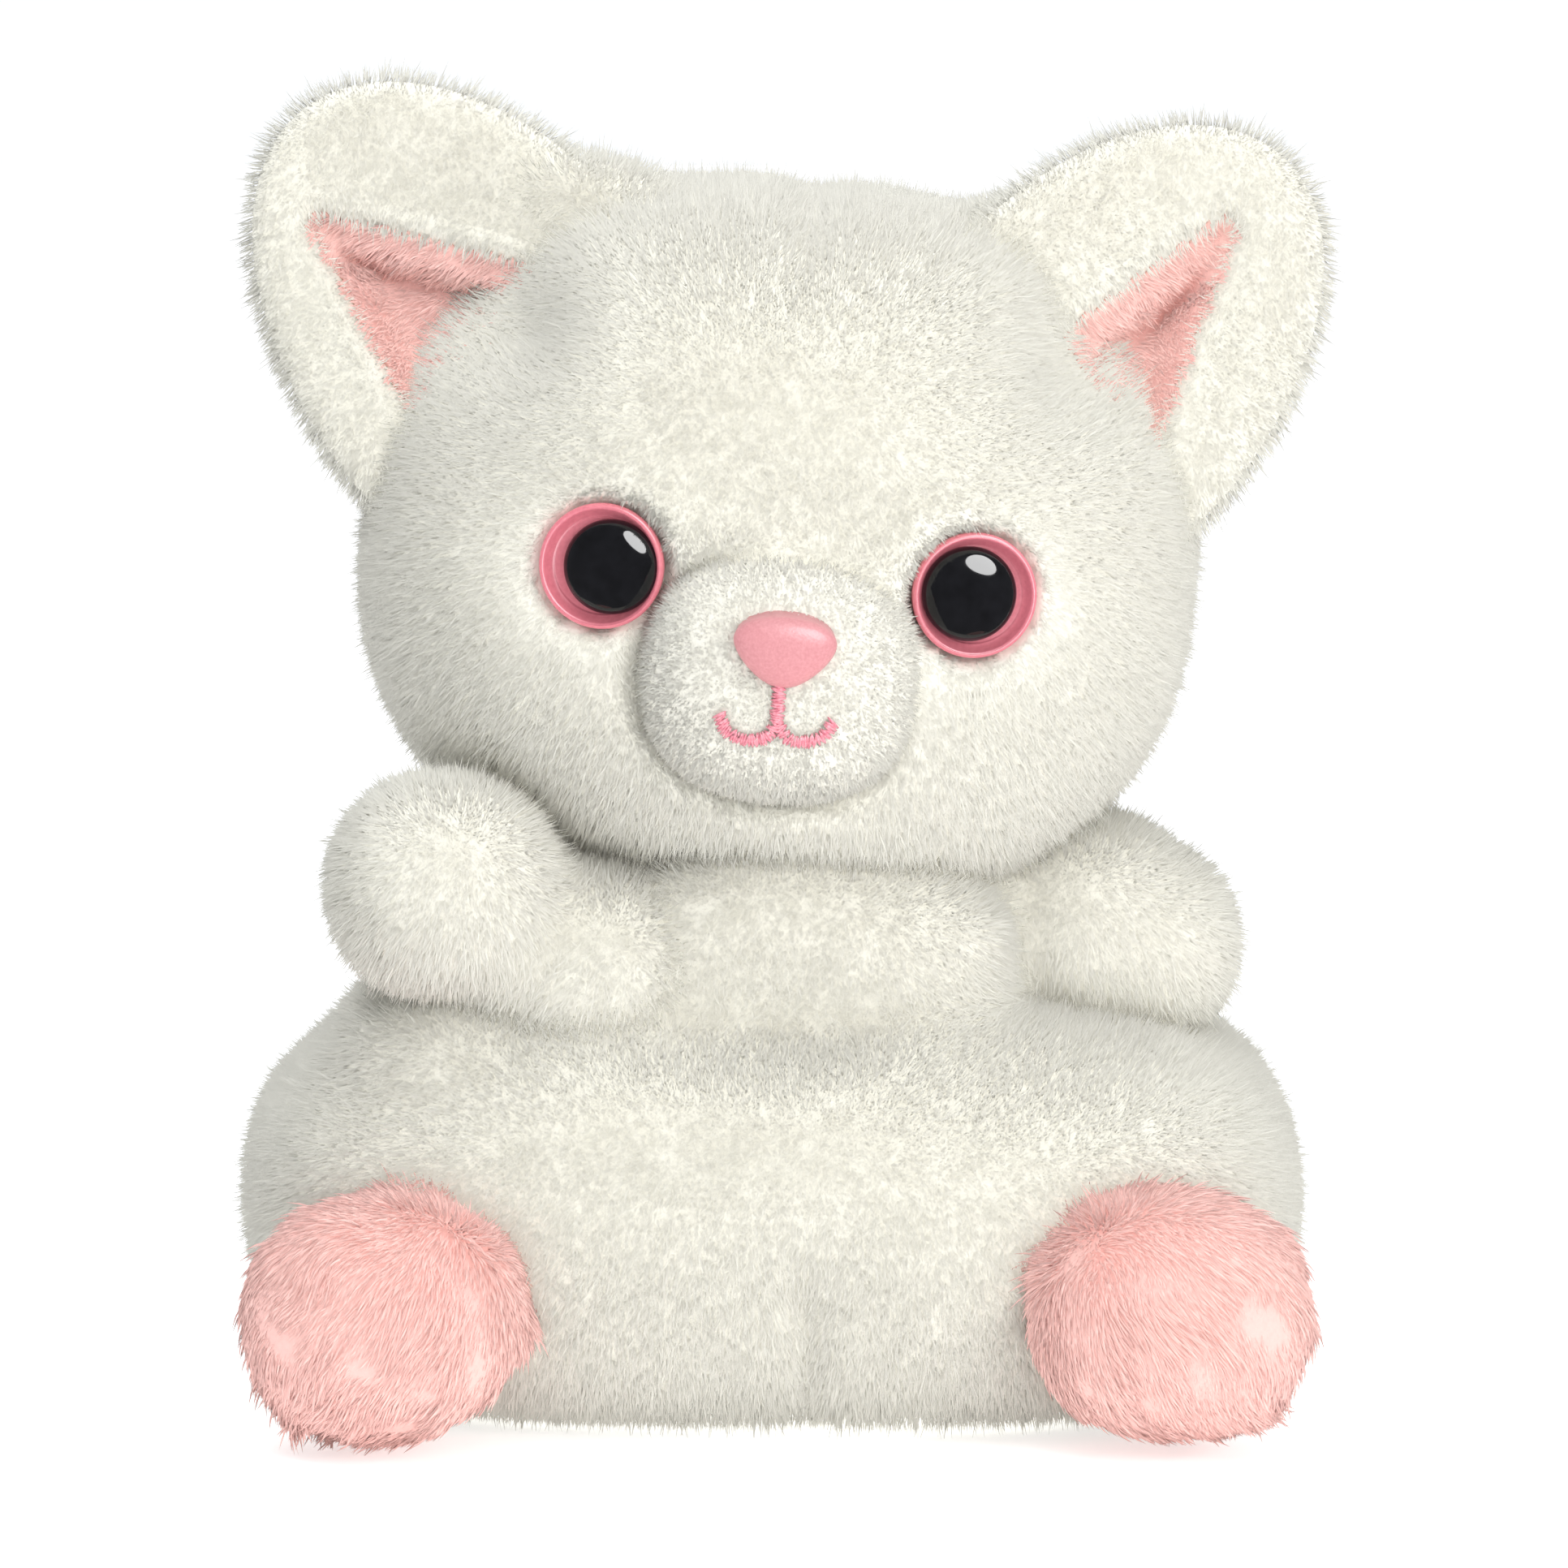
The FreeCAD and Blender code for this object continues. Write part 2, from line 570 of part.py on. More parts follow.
def make_trunk():
    """Seat and torso: panels over stuffing, a flat base, and a rounded top inside the head."""
    limbs = sockets()
    reach = size("far_reach") / 2
    lining = "( cover_thick + touch_gap ) * 2"
    seat = Vector(0, size("seat_back"), size("seat_up"))
    outside = ellipsoid("seat_form", "seat_wide", "seat_deep", "seat_tall", seat)
    hollow = ellipsoid("seat_hollow", "seat_wide - cover_thick * 2", "seat_deep - cover_thick * 2",
                       "seat_tall - cover_thick * 2", seat)
    filling = ellipsoid("seat_filling", f"seat_wide - {lining}", f"seat_deep - {lining}",
                        f"seat_tall - {lining}", seat)
    floor = block("seat_base_room", Vector(-reach, -reach, 0), UPRIGHT, "cover_thick")
    above = block("seat_wall_room", Vector(-reach, -reach, size("cover_thick")))
    part(common("seat_base_panel", outside, floor), "seat_base_panel")
    wall = cut("seat_wall", common("seat_above", outside, above), hollow)
    for panel in halves("seat", cut("seat_shell", wall, limbs), size("seat_back")):
        part(panel, panel.Name)
    bag = Vector(0, size("seat_back"), size("pouch_up"))
    pouch = ellipsoid("pouch_form", "pouch_wide", "pouch_deep", "pouch_tall", bag)
    room = ellipsoid("pouch_hollow", "pouch_wide - pouch_thick * 2", "pouch_deep - pouch_thick * 2",
                     "pouch_tall - pouch_thick * 2", bag)
    taken = fuse("seat_rooms", [limbs, pouch])
    part(cut("seat_stuffing", common("seat_fill", filling, above), taken), "seat_stuffing")
    part(cut("bean_pouch", pouch, room), "bean_pouch")

    chest = Vector(0, size("torso_back"), size("torso_up"))
    body = ellipsoid("torso_form", "torso_wide", "torso_deep", "torso_tall", chest)
    dome = ball("torso_dome", "neck_dome", neck_pivot())
    inner = ellipsoid("torso_hollow", "torso_wide - cover_thick * 2", "torso_deep - cover_thick * 2",
                      "torso_tall - cover_thick * 2", chest)
    inner_dome = ball("torso_dome_hollow", "neck_dome - cover_thick", neck_pivot())
    taken = fuse("torso_rooms", [limbs, outside])
    shell = cut("torso_wall", fuse("torso_outside", [body, dome]),
                fuse("torso_inside", [inner, inner_dome]))
    for panel in halves("torso", cut("torso_shell", shell, taken), size("torso_back")):
        part(panel, panel.Name)
    fill = ellipsoid("torso_filling", f"torso_wide - {lining}", f"torso_deep - {lining}",
                     f"torso_tall - {lining}", chest)
    fill_dome = ball("torso_dome_filling", "neck_dome - cover_thick - touch_gap", neck_pivot())
    part(cut("torso_stuffing", fuse("torso_fill", [fill, fill_dome]), taken), "torso_stuffing")


def make_pellets():
    """Plastic pellets in level layers that fill the pouch, each one clear of the next."""
    step = size("pellet_step")
    radius = size("pellet_wide") / 2
    wall = size("pouch_thick") + radius + size("touch_gap")
    half = [size("pouch_wide") / 2 - wall, size("pouch_deep") / 2 - wall, size("pouch_tall") / 2 - wall]
    count = [int(reach / step) + 1 for reach in half]
    pellets = []
    for layer in range(-count[2], count[2] + 1):
        for row in range(-count[1], count[1] + 1):
            for place in range(-count[0], count[0] + 1):
                spot = Vector(place * step, row * step, layer * step)
                if sum((spot[i] / half[i]) ** 2 for i in range(3)) <= 1:
                    spot += Vector(0, size("seat_back"), size("pouch_up"))
                    pellets.append(Part.makeSphere(radius, spot))
    beans = doc.addObject("Part::Feature", "bean_pellets")
    beans.Shape = Part.makeCompound(pellets)
    part(beans, "bean_pellets")


def limb_profile(root, neck, end, reach, end_tall, less):
    """Corners of half a limb's outline: a rounded root, a neck and a rounded end, all smaller by less."""
    top = f"( {root} ) + {reach}"
    end_radius = f"( ( {end} ) - {less} )"
    end_half = f"( ( {end_tall} ) - {less} )"
    root_radius = f"( {root} - {less} )"
    return [("0", less),
            (f"{root_radius} * {ON_DIAGONAL}", f"{root} - {root_radius} * {ON_DIAGONAL}"),
            (root_radius, root),
            (f"{neck} - {less}", f"{root} * {NECK_RISE}"),
            (f"{end_radius} * {CHEEK_WIDE}", f"{top} - {end_half} * {CHEEK_DOWN}"),
            (end_radius, top),
            (f"{end_radius} * {BROW_WIDE}", f"{top} + {end_half} * {BROW_UP}"),
            ("0", f"{top} + {end_half}")]


def make_limb(name, placement, root, neck, end, reach, end_tall):
    """A stuffed limb turned about its own Z: a hollow cover, and the stuffing in it."""
    measures = (root, neck, end, reach, end_tall)
    outside = limb_profile(*measures, "0")
    inside = limb_profile(*measures, "arm_cover")
    below = Placement(Vector(0, 0, -size(root)), UPRIGHT)
    turned(name + "_cover", outside + inside[::-1], placement.multiply(below))
    turned(name + "_stuffing", limb_profile(*measures, "( arm_cover + touch_gap )"),
           placement.multiply(below))


def make_arm(side):
    """A stuffed arm: a rounded root in its socket, a short arm and a round paw."""
    along = paw(side) - shoulder(side)
    place = Placement(shoulder(side), Rotation(Z_AXIS, along))
    make_limb(name_of(side) + "_arm", place, "arm_root", "arm_neck", "paw_wide / 2",
              f"{along.Length:.4f}", "paw_long / 2")


def make_foot(side):
    """A round stuffed foot: a pink pad in front, its back panel, and stuffing."""
    name = name_of(side) + "_foot"
    middle = Vector(side * size("foot_side"), -size("foot_fore"), size("foot_up"))
    lining = "( cover_thick + touch_gap ) * 2"
    outside = ellipsoid(name + "_form", "foot_wide", "foot_deep", "foot_tall", middle)
    hollow = ellipsoid(name + "_hollow", "foot_wide - cover_thick * 2", "foot_deep - cover_thick * 2",
                       "foot_tall - cover_thick * 2", middle)
    for panel in halves(name, cut(name + "_wall", outside, hollow), middle.y + size("foot_seam")):
        part(panel, panel.Name)
    part(ellipsoid(name + "_stuffing", f"foot_wide - {lining}", f"foot_deep - {lining}",
                   f"foot_tall - {lining}"), name + "_stuffing", Placement(middle, UPRIGHT))


def tail_frame():
    """The tail's own frame: its Z runs from the root at the seat's back up to the tip."""
    return Placement(Vector(0, size("tail_back"), size("tail_up")), Rotation(X_AXIS, -size("tail_lean")))


def make_tail():
    """A short stuffed tail that stands against the back."""
    make_limb("tail", tail_frame(), "tail_root", "tail_root * 0.96", "tail_tip", "tail_long - tail_tip",
              "tail_tip")


def make_label():
    """A blank sewn-in care label that hangs at the back of the seat."""
    body = doc.addObject("PartDesign::Body", "care_label")
    sketch = new_sketch(body, "care_label_outline", "XZ_Plane")
    outline(sketch, [("0", "0"), ("label_wide", "0"), ("label_wide", "label_long"), ("0", "label_long")])
    leaf = body.newObject("PartDesign::Pad", "care_label_leaf")
    leaf.Profile = sketch
    bind(leaf, Length="label_thick")
    across = size("label_side")
    depth = size("seat_deep") / 2 * math.sqrt(1 - (2 * across / size("seat_wide")) ** 2)
    place = Vector(across, size("seat_back") + depth + size("label_thick") * 2, size("label_up"))
    part(body, "care_label", Placement(place, UPRIGHT))


def check():
    """Stop if any object failed or any sub-part isn't a valid solid."""
    for item in doc.Objects:
        if {"Invalid", "Error"} & set(item.State):
            raise RuntimeError(f"{item.Name}: {item.State}")
    for item in parts:
        if item.Shape.isNull() or not item.Shape.isValid() or item.Shape.Volume <= 0:
            raise RuntimeError(f"{item.Label} is not a valid solid")


def write():
    os.makedirs("parts", exist_ok=True)
    for item in parts:
        item.Shape.exportStep(f"parts/{item.Label}.step")
        print(f"{item.Label:26s} {len(item.Shape.Solids):4d} solids {item.Shape.Volume:10.1f} mm3")


def main():
    fill_sheet()
    make_head()
    for side in (LEFT, RIGHT):
        make_ear(side)
    make_neck()
    make_trunk()
    make_pellets()
    for side in (LEFT, RIGHT):
        make_arm(side)
        make_foot(side)
    make_tail()
    make_label()
    doc.recompute()
    check()
    write()


main()
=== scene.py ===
"""The looks of a seated bean-filled plush cat, built round its CAD frame.

Forms are worked out in millimetres, in the frame's axes, and stored in metres.  Each body has a
skin (the stuffed fabric), a pile of fine closed fibres that grows on it, and its stuffing.
"""
import bpy
import json
import math
import numpy as np
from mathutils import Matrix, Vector


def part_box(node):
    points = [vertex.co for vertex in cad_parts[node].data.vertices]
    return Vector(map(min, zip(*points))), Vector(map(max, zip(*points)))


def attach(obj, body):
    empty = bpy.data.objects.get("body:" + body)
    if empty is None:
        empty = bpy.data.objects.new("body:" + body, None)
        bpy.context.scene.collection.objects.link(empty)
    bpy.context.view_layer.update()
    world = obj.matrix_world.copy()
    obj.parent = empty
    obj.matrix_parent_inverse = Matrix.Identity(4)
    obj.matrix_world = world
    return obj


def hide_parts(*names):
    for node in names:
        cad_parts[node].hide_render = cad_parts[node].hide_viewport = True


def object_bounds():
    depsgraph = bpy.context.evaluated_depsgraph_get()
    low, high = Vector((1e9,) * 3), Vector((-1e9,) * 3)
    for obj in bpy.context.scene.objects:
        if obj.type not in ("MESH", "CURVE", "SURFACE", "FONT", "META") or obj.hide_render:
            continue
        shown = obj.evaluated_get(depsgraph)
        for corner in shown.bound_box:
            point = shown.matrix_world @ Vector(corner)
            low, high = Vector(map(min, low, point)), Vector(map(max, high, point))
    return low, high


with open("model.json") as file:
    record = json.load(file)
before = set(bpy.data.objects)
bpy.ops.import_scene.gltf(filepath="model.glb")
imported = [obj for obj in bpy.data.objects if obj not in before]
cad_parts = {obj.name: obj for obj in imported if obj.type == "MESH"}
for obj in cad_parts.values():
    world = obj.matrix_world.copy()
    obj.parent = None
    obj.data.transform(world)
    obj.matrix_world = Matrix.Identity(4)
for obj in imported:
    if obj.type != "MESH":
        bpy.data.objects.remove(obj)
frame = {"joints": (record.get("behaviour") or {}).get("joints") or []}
cad_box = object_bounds()

MM = 0.001
SIDES = LEFT, RIGHT = -1, 1
STAGE = bpy.context.scene


# ---- the frame, in millimetres

def box_mm(*nodes):
    """Lowest and highest corners of some CAD nodes together."""
    boxes = [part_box(node) for node in nodes]
    return np.min([box[0] for box in boxes], 0) / MM, np.max([box[1] for box in boxes], 0) / MM


def middle(node):
    low, high = box_mm(node)
    return (low + high) / 2


def pivot(joint):
    """A joint's point."""
    found = next(j for j in frame["joints"] if j["name"] == joint)
    return np.array(found["pos_m"]) / MM


def side_name(side):
    return "left" if side == LEFT else "right"


def settle(item, body, slot, *nodes, fill=None):
    """Ride a piece on a body and hide the CAD nodes it replaces; slot and fill are not used."""
    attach(item, body)
    if nodes:
        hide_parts(*nodes)


EYES = {side: middle(side_name(side) + "_eye_dish") for side in SIDES}
HEAD_ROLL = math.atan2(EYES[LEFT][2] - EYES[RIGHT][2], EYES[RIGHT][0] - EYES[LEFT][0])
HEAD_LOW, HEAD_HIGH = box_mm("head_front_cover", "head_back_cover")
HEAD_HALF = np.array([38.6, 30.0, 32.6])
HEAD_TO_CROWN = 32.0
HEAD = np.array([0.0, (HEAD_LOW[1] + HEAD_HIGH[1]) / 2, HEAD_HIGH[2] - HEAD_TO_CROWN])
SEAT_LOW, SEAT_HIGH = box_mm("seat_front_cover", "seat_back_cover", "seat_base_panel")


def turn_y(points, angle):
    """Turn points about Y, which takes Z towards X."""
    c, s = math.cos(angle), math.sin(angle)
    return points @ np.array([[c, 0, -s], [0, 1, 0], [s, 0, c]])


def from_head(points):
    """Points in the head's own leaning frame, put in the toy's."""
    return turn_y(np.asarray(points, float), HEAD_ROLL) + HEAD


def to_head(points):
    return turn_y(np.asarray(points, float) - HEAD, -HEAD_ROLL)


# ---- forms

def unit(vectors):
    return vectors / np.maximum(np.linalg.norm(vectors, axis=-1, keepdims=True), 1e-9)


def ease(low, high, values):
    t = np.clip((values - low) / (high - low), 0, 1)
    return t * t * (3 - 2 * t)


def mound(points, centre, reach):
    """1 at a centre, falling to 0 like a bell whose width is reach, along each axis or all."""
    away = (points - np.asarray(centre, float)) / np.asarray(reach, float)
    return np.exp(-(away ** 2).sum(-1))


def grid_quads(index):
    """The quads of a grid of point numbers."""
    return np.stack([index[:-1, :-1], index[1:, :-1], index[1:, 1:], index[:-1, 1:]], -1).reshape(-1, 4)


def ring_faces(rings, steps):
    """Triangles of a closed form: rings of points in order, then its first and last points."""
    here = np.arange(steps)
    after = (here + 1) % steps
    first = np.full(steps, rings * steps)
    faces = [np.stack([first, after, here], 1)]
    top = (rings - 1) * steps
    for low in range(0, top, steps):
        high = low + steps
        faces.append(np.stack([low + here, low + after, high + after], 1))
        faces.append(np.stack([low + here, high + after, high + here], 1))
    faces.append(np.stack([top + here, top + after, first + 1], 1))
    return np.concatenate(faces)


def cube_sphere(steps):
    """Unit directions and quads of a sphere with no poles."""
    line = np.tan(np.linspace(-math.pi / 4, math.pi / 4, steps + 1))
    a, b = np.meshgrid(line, line, indexing="ij")
    one = np.ones_like(a)
    sheets = [(one, a, b), (-one, b, a), (b, one, a), (a, -one, b), (a, b, one), (b, a, -one)]
    points = np.concatenate([np.stack(sheet, -1).reshape(-1, 3) for sheet in sheets])
    index = np.arange((steps + 1) ** 2).reshape(steps + 1, steps + 1)
    quads = np.concatenate([grid_quads(index) + n * (steps + 1) ** 2 for n in range(6)])
    _, first, back = np.unique(np.round(unit(points), 5), axis=0, return_index=True, return_inverse=True)
    return unit(points)[first], back.reshape(-1)[quads]


def egg(half, power, steps):
    """A superellipsoid: an ellipsoid for power 2, and boxier above it."""
    directions, quads = cube_sphere(steps)
    share = (np.abs(directions / half) ** power).sum(-1) ** (-1 / power)
    return directions * share[:, None], quads


def waves(points, wavelength, seed, count=10):
    """A smooth random field of three components, each about -1 to 1."""
    rng = np.random.default_rng(seed)
    found = np.zeros((len(points), 3))
    for _ in range(count):
        direction = unit(rng.normal(size=3)) * (2 * math.pi / (wavelength * rng.uniform(0.7, 1.5)))
        phase = (points @ direction)[:, None] + rng.uniform(0, 2 * math.pi, 3)
        found += np.sin(phase)
    return found / math.sqrt(count)


def make_object(name, points, faces, material=None):
    """An object from points in millimetres and equal-sided faces."""
    mesh = bpy.data.meshes.new(name)
    points = np.asarray(points, np.float32) * MM
    faces = np.asarray(faces, np.int32)
    mesh.vertices.add(len(points))
    mesh.vertices.foreach_set("co", points.ravel())
    mesh.loops.add(faces.size)
    mesh.loops.foreach_set("vertex_index", faces.ravel())
    mesh.polygons.add(len(faces))
    mesh.polygons.foreach_set("loop_start", np.arange(0, faces.size, faces.shape[1], dtype=np.int32))
    mesh.update(calc_edges=True)
    mesh.validate()
    mesh.polygons.foreach_set("use_smooth", np.ones(len(mesh.polygons), bool))
    made = bpy.data.objects.new(name, mesh)
    STAGE.collection.objects.link(made)
    if material:
        mesh.materials.append(material)
    return made


def configure(thing, **settings):
    for name, value in settings.items():
        setattr(thing, name, value)
    return thing


def bake_modifiers(item):
    """Replace an object's mesh by what its modifiers make of it."""
    graph = bpy.context.evaluated_depsgraph_get()
    final = bpy.data.meshes.new_from_object(item.evaluated_get(graph))
    item.modifiers.clear()
    item.data = final
    final.polygons.foreach_set("use_smooth", np.ones(len(final.polygons), bool))


def rings_about(across, beside, steps):
    """Evenly spaced unit vectors round some axes, from two directions square to each."""
    turns = np.linspace(0, 2 * math.pi, steps, endpoint=False)[None, :, None]
    return np.cos(turns) * across[:, None] + np.sin(turns) * beside[:, None]


def lathe(profile, steps=96):
    """Points and triangles of a closed form turned about Z; the profile starts and ends on Z."""
    turns = np.linspace(0, 2 * math.pi, steps, endpoint=False)
    circle = np.stack([np.cos(turns), np.sin(turns)], 1)
    rings = [np.column_stack([circle * radius, np.full(steps, height)]) for radius, height in profile[1:-1]]
    ends = np.array([[0, 0, profile[0][1]], [0, 0, profile[-1][1]]])
    return np.concatenate(rings + [ends]), ring_faces(len(rings), steps)


def rounded(corners, radius, steps):
    """A profile whose inner corners are eased."""
    corners = [np.array(corner, float) for corner in corners]
    found = [corners[0]]
    for before, corner, after in zip(corners, corners[1:], corners[2:]):
        reach = min(radius, np.linalg.norm(before - corner) / 2, np.linalg.norm(after - corner) / 2)
        start = corner + unit(before - corner) * reach
        end = corner + unit(after - corner) * reach
        for share in np.linspace(0, 1, steps):
            found.append((1 - share) ** 2 * start + 2 * share * (1 - share) * corner + share ** 2 * end)
    return found + [corners[-1]]


def aimed(points, place, axis, up):
    """Points whose own Z is turned to an axis and whose Y is turned upwards."""
    right = unit(np.cross(up, axis))
    return points @ np.stack([right, np.cross(axis, right), axis]) + place


def join_forms(forms):
    points, faces, count = [], [], 0
    for form_points, form_faces in forms:
        points.append(form_points)
        faces.append(form_faces + count)
        count += len(form_points)
    return np.concatenate(points), np.concatenate(faces)


def melt(name, forms, voxel, rounds):
    """One smooth closed white skin from several closed forms that run into each other."""
    item = make_object(name, *join_forms(forms), WHITE_CLOTH)
    configure(item.modifiers.new("melt", "REMESH"), mode="VOXEL", voxel_size=voxel * MM)
    configure(item.modifiers.new("relax", "SMOOTH"), iterations=rounds)
    bake_modifiers(item)
    return item


def read_threes(items, field, kind=np.float32):
    """A field of three numbers, read from each of a mesh's items."""
    found = np.empty(len(items) * 3, kind)
    items.foreach_get(field, found)
    return found.reshape(-1, 3)


def points_of(item):
    return read_threes(item.data.vertices, "co").astype(float) / MM


def normals_of(item):
    return read_threes(item.data.vertex_normals, "vector").astype(float)


def move_points(item, points):
    item.data.vertices.foreach_set("co", (np.asarray(points, np.float32) * MM).ravel())
    item.data.update()


def subdivide(item):
    configure(item.modifiers.new("finer", "SUBSURF"), levels=1, render_levels=1)
    bake_modifiers(item)


def thicken(item, thickness):
    """Give a sheet a thickness, behind its faces."""
    configure(item.modifiers.new("thickness", "SOLIDIFY"), thickness=thickness * MM)
    bake_modifiers(item)


SIM_SCALE = 8       # the cloth solver is steadier on a larger copy
SIM_FRAMES = 20


def inflate(item, pinned, most, pressure):
    """Swell a skin as filled cloth between its pinned seams, no point by more than so many mm."""
    before = points_of(item)
    copy = bpy.data.objects.new("inflating", item.data.copy())
    STAGE.collection.objects.link(copy)
    move_points(copy, before * SIM_SCALE)
    group = copy.vertex_groups.new(name="seams")
    group.add(np.flatnonzero(pinned).tolist(), 1.0, "REPLACE")
    cloth = configure(copy.modifiers.new("cloth", "CLOTH").settings, use_pressure=True,
                      uniform_pressure_force=pressure, vertex_group_mass="seams")
    cloth.effector_weights.gravity = 0
    for step in range(1, SIM_FRAMES + 1):
        STAGE.frame_set(step)
    bake_modifiers(copy)
    shift = points_of(copy) / SIM_SCALE - before
    bpy.data.objects.remove(copy)
    STAGE.frame_set(1)
    far = np.linalg.norm(shift, axis=1, keepdims=True)
    print(f"{item.name}: cloth moved {far.mean():.2f} mm on average, {far.max():.2f} at most")
    move_points(item, before + shift * np.minimum(1, most / np.maximum(far, 1e-6)))


# ---- materials

NOISE_DETAIL = 4
NOISE_ENDS = (0.3, 0.7)     # noise at and beyond these is the darker and the lighter tone


def feed(tree, node, **inputs):
    """Set a node's sockets to values, or link other nodes' outputs to them."""
    for socket, value in inputs.items():
        target = node.inputs[socket.replace("_", " ")]
        if isinstance(value, bpy.types.NodeSocket):
            tree.links.new(value, target)
        else:
            target.default_value = value


def add_node(tree, kind, **inputs):
    made = tree.nodes.new("ShaderNode" + kind)
    feed(tree, made, **inputs)
    return made


def principled(name, colour, roughness, **sockets):
    material = bpy.data.materials.new(name)
    material.use_nodes = True
    tree = material.node_tree
    feed(tree, tree.nodes["Principled BSDF"], Base_Color=(*colour, 1), Roughness=roughness, **sockets)
    return material


def mottled(name, colour, roughness, scale, dark, light, bump, distance=0.0002, rough=None, **sockets):
    """Colour that wanders between two tones, with a bump, both from noise on the surface."""
    material = principled(name, colour, roughness, **sockets)
    tree = material.node_tree
    shader = tree.nodes["Principled BSDF"]
    place = add_node(tree, "TexCoord").outputs["Object"]
    noise = add_node(tree, "TexNoise", Vector=place, Scale=scale, Detail=NOISE_DETAIL).outputs["Fac"]
    ramp = add_node(tree, "ValToRGB", Fac=noise)
    for stop, position, tone in zip(ramp.color_ramp.elements, NOISE_ENDS, (dark, light)):
        stop.position = position
        stop.color = (*tone, 1)
    relief = add_node(tree, "Bump", Strength=bump, Distance=distance, Height=noise)
    feed(tree, shader, Base_Color=ramp.outputs["Color"], Normal=relief.outputs["Normal"])
    if rough:
        spread = add_node(tree, "MapRange", To_Min=rough[0], To_Max=rough[1], Value=noise)
        feed(tree, shader, Roughness=spread.outputs["Result"])
    return material


def shade(colour, factor):
    return tuple(min(1.0, channel * factor) for channel in colour)


WHITE = (0.965, 0.945, 0.855)
PINK = (0.96, 0.59, 0.54)
WHITE_SPREAD = (0.985, 1.0, 1.012)      # how light each fibre tone is
PINK_SPREAD = (0.85, 0.97, 1.08)
FIBRE_ROUGHNESS = 0.85


def fibre_tones(name, colour, spread, gloss=0.14):
    """Plain fibre materials of slightly different tone; the pile takes one per fibre."""
    return [principled(f"{name}_{number}", shade(colour, factor), FIBRE_ROUGHNESS, Specular_IOR_Level=gloss)
            for number, factor in enumerate(spread)]


def backing(name, colour, scale, dark, light, bump):
    """The knitted cloth that a pile stands on."""
    return mottled(name, colour, 0.95, scale, shade(colour, dark), shade(colour, light), bump,
                   Specular_IOR_Level=0.0)


WHITE_FIBRES = fibre_tones("white_fibre", WHITE, WHITE_SPREAD)
PINK_FIBRES = fibre_tones("pink_fibre", PINK, PINK_SPREAD, gloss=0.06)
# the muzzle's fibres are the white tones made darker: painted shade that dims the muzzle where it faces the
# key light
MUZZLE_SHADED_FIBRES = fibre_tones("muzzle_painted_shade_fibre", shade(WHITE, 0.92), WHITE_SPREAD)
WHITE_CLOTH = backing("white_backing", WHITE, 3000, 0.95, 1.0, 0.2)
PINK_CLOTH = backing("pink_backing", PINK, 2500, 0.92, 1.0, 0.2)
MUZZLE_CLOTH = backing("muzzle_backing", WHITE, 2500, 0.9, 0.96, 0.3)
# after the name: colour, roughness, noise scale, darker tone, lighter tone, bump and its depth in metres
IRIS = mottled("iris_satin", (0.74, 0.2, 0.25), 0.38, 2500, (0.70, 0.18, 0.23), (0.78, 0.22, 0.27),
               0.05, 0.00005, rough=(0.32, 0.45))
PUPIL = mottled("pupil_gloss", (0.004, 0.004, 0.005), 0.06, 700, (0.003, 0.003, 0.004), (0.007, 0.007, 0.009),
                0.01, 0.00001, rough=(0.04, 0.09), Specular_IOR_Level=0.4)
NOSE = mottled("nose_satin", (0.68, 0.29, 0.31), 0.42, 3500, (0.64, 0.26, 0.28), (0.72, 0.32, 0.34),
               0.6, 0.00008, rough=(0.3, 0.5), Specular_IOR_Level=0.3)
THREAD = mottled("mouth_thread", (0.74, 0.2, 0.27), 0.45, 3000, (0.72, 0.18, 0.25), (0.92, 0.42, 0.48),
                 0.3, 0.00005)
POUCH_CLOTH = mottled("pouch_cotton", (0.8, 0.76, 0.66), 0.9, 3000, (0.74, 0.70, 0.60), (0.84, 0.80, 0.70),
                      0.6)
PELLET = mottled("pellet_plastic", (0.75, 0.75, 0.72), 0.4, 900, (0.70, 0.70, 0.66), (0.80, 0.80, 0.77),
                 0.1, rough=(0.35, 0.5))
WASHER = mottled("washer_plastic", (0.85, 0.85, 0.83), 0.35, 1200, (0.80, 0.80, 0.78), (0.88, 0.88, 0.86),
                 0.08, rough=(0.3, 0.45))
SEWING_THREAD = mottled("sewing_thread", (0.88, 0.87, 0.83), 0.6, 4000, (0.80, 0.79, 0.75),
                        (0.92, 0.91, 0.88), 0.4, 0.0001)
LABEL = mottled("label_satin", (0.8, 0.8, 0.79), 0.35, 5000, (0.74, 0.74, 0.73), (0.84, 0.84, 0.83),
                0.3, 0.00005, rough=(0.3, 0.45))
FILLING = mottled("polyester_filling", (0.9, 0.9, 0.9), 1.0, 500, (0.82, 0.82, 0.82), (0.93, 0.93, 0.93),
                  0.8, 0.0006)
PAPER = principled("paper", (0.9, 0.9, 0.9), 0.95, Emission_Color=(1, 1, 1, 1), Emission_Strength=0.5)


# ---- pile

ROOT_DEPTH = 0.4        # how far a fibre's root is buried
MOST_FACES = 195000     # in one piece
LONG_SHARE = 0.08       # of the fibres, half as long again
LENGTH_SPREAD = (0.8, 1.15)
WIDTH_SPREAD = (0.8, 1.2)


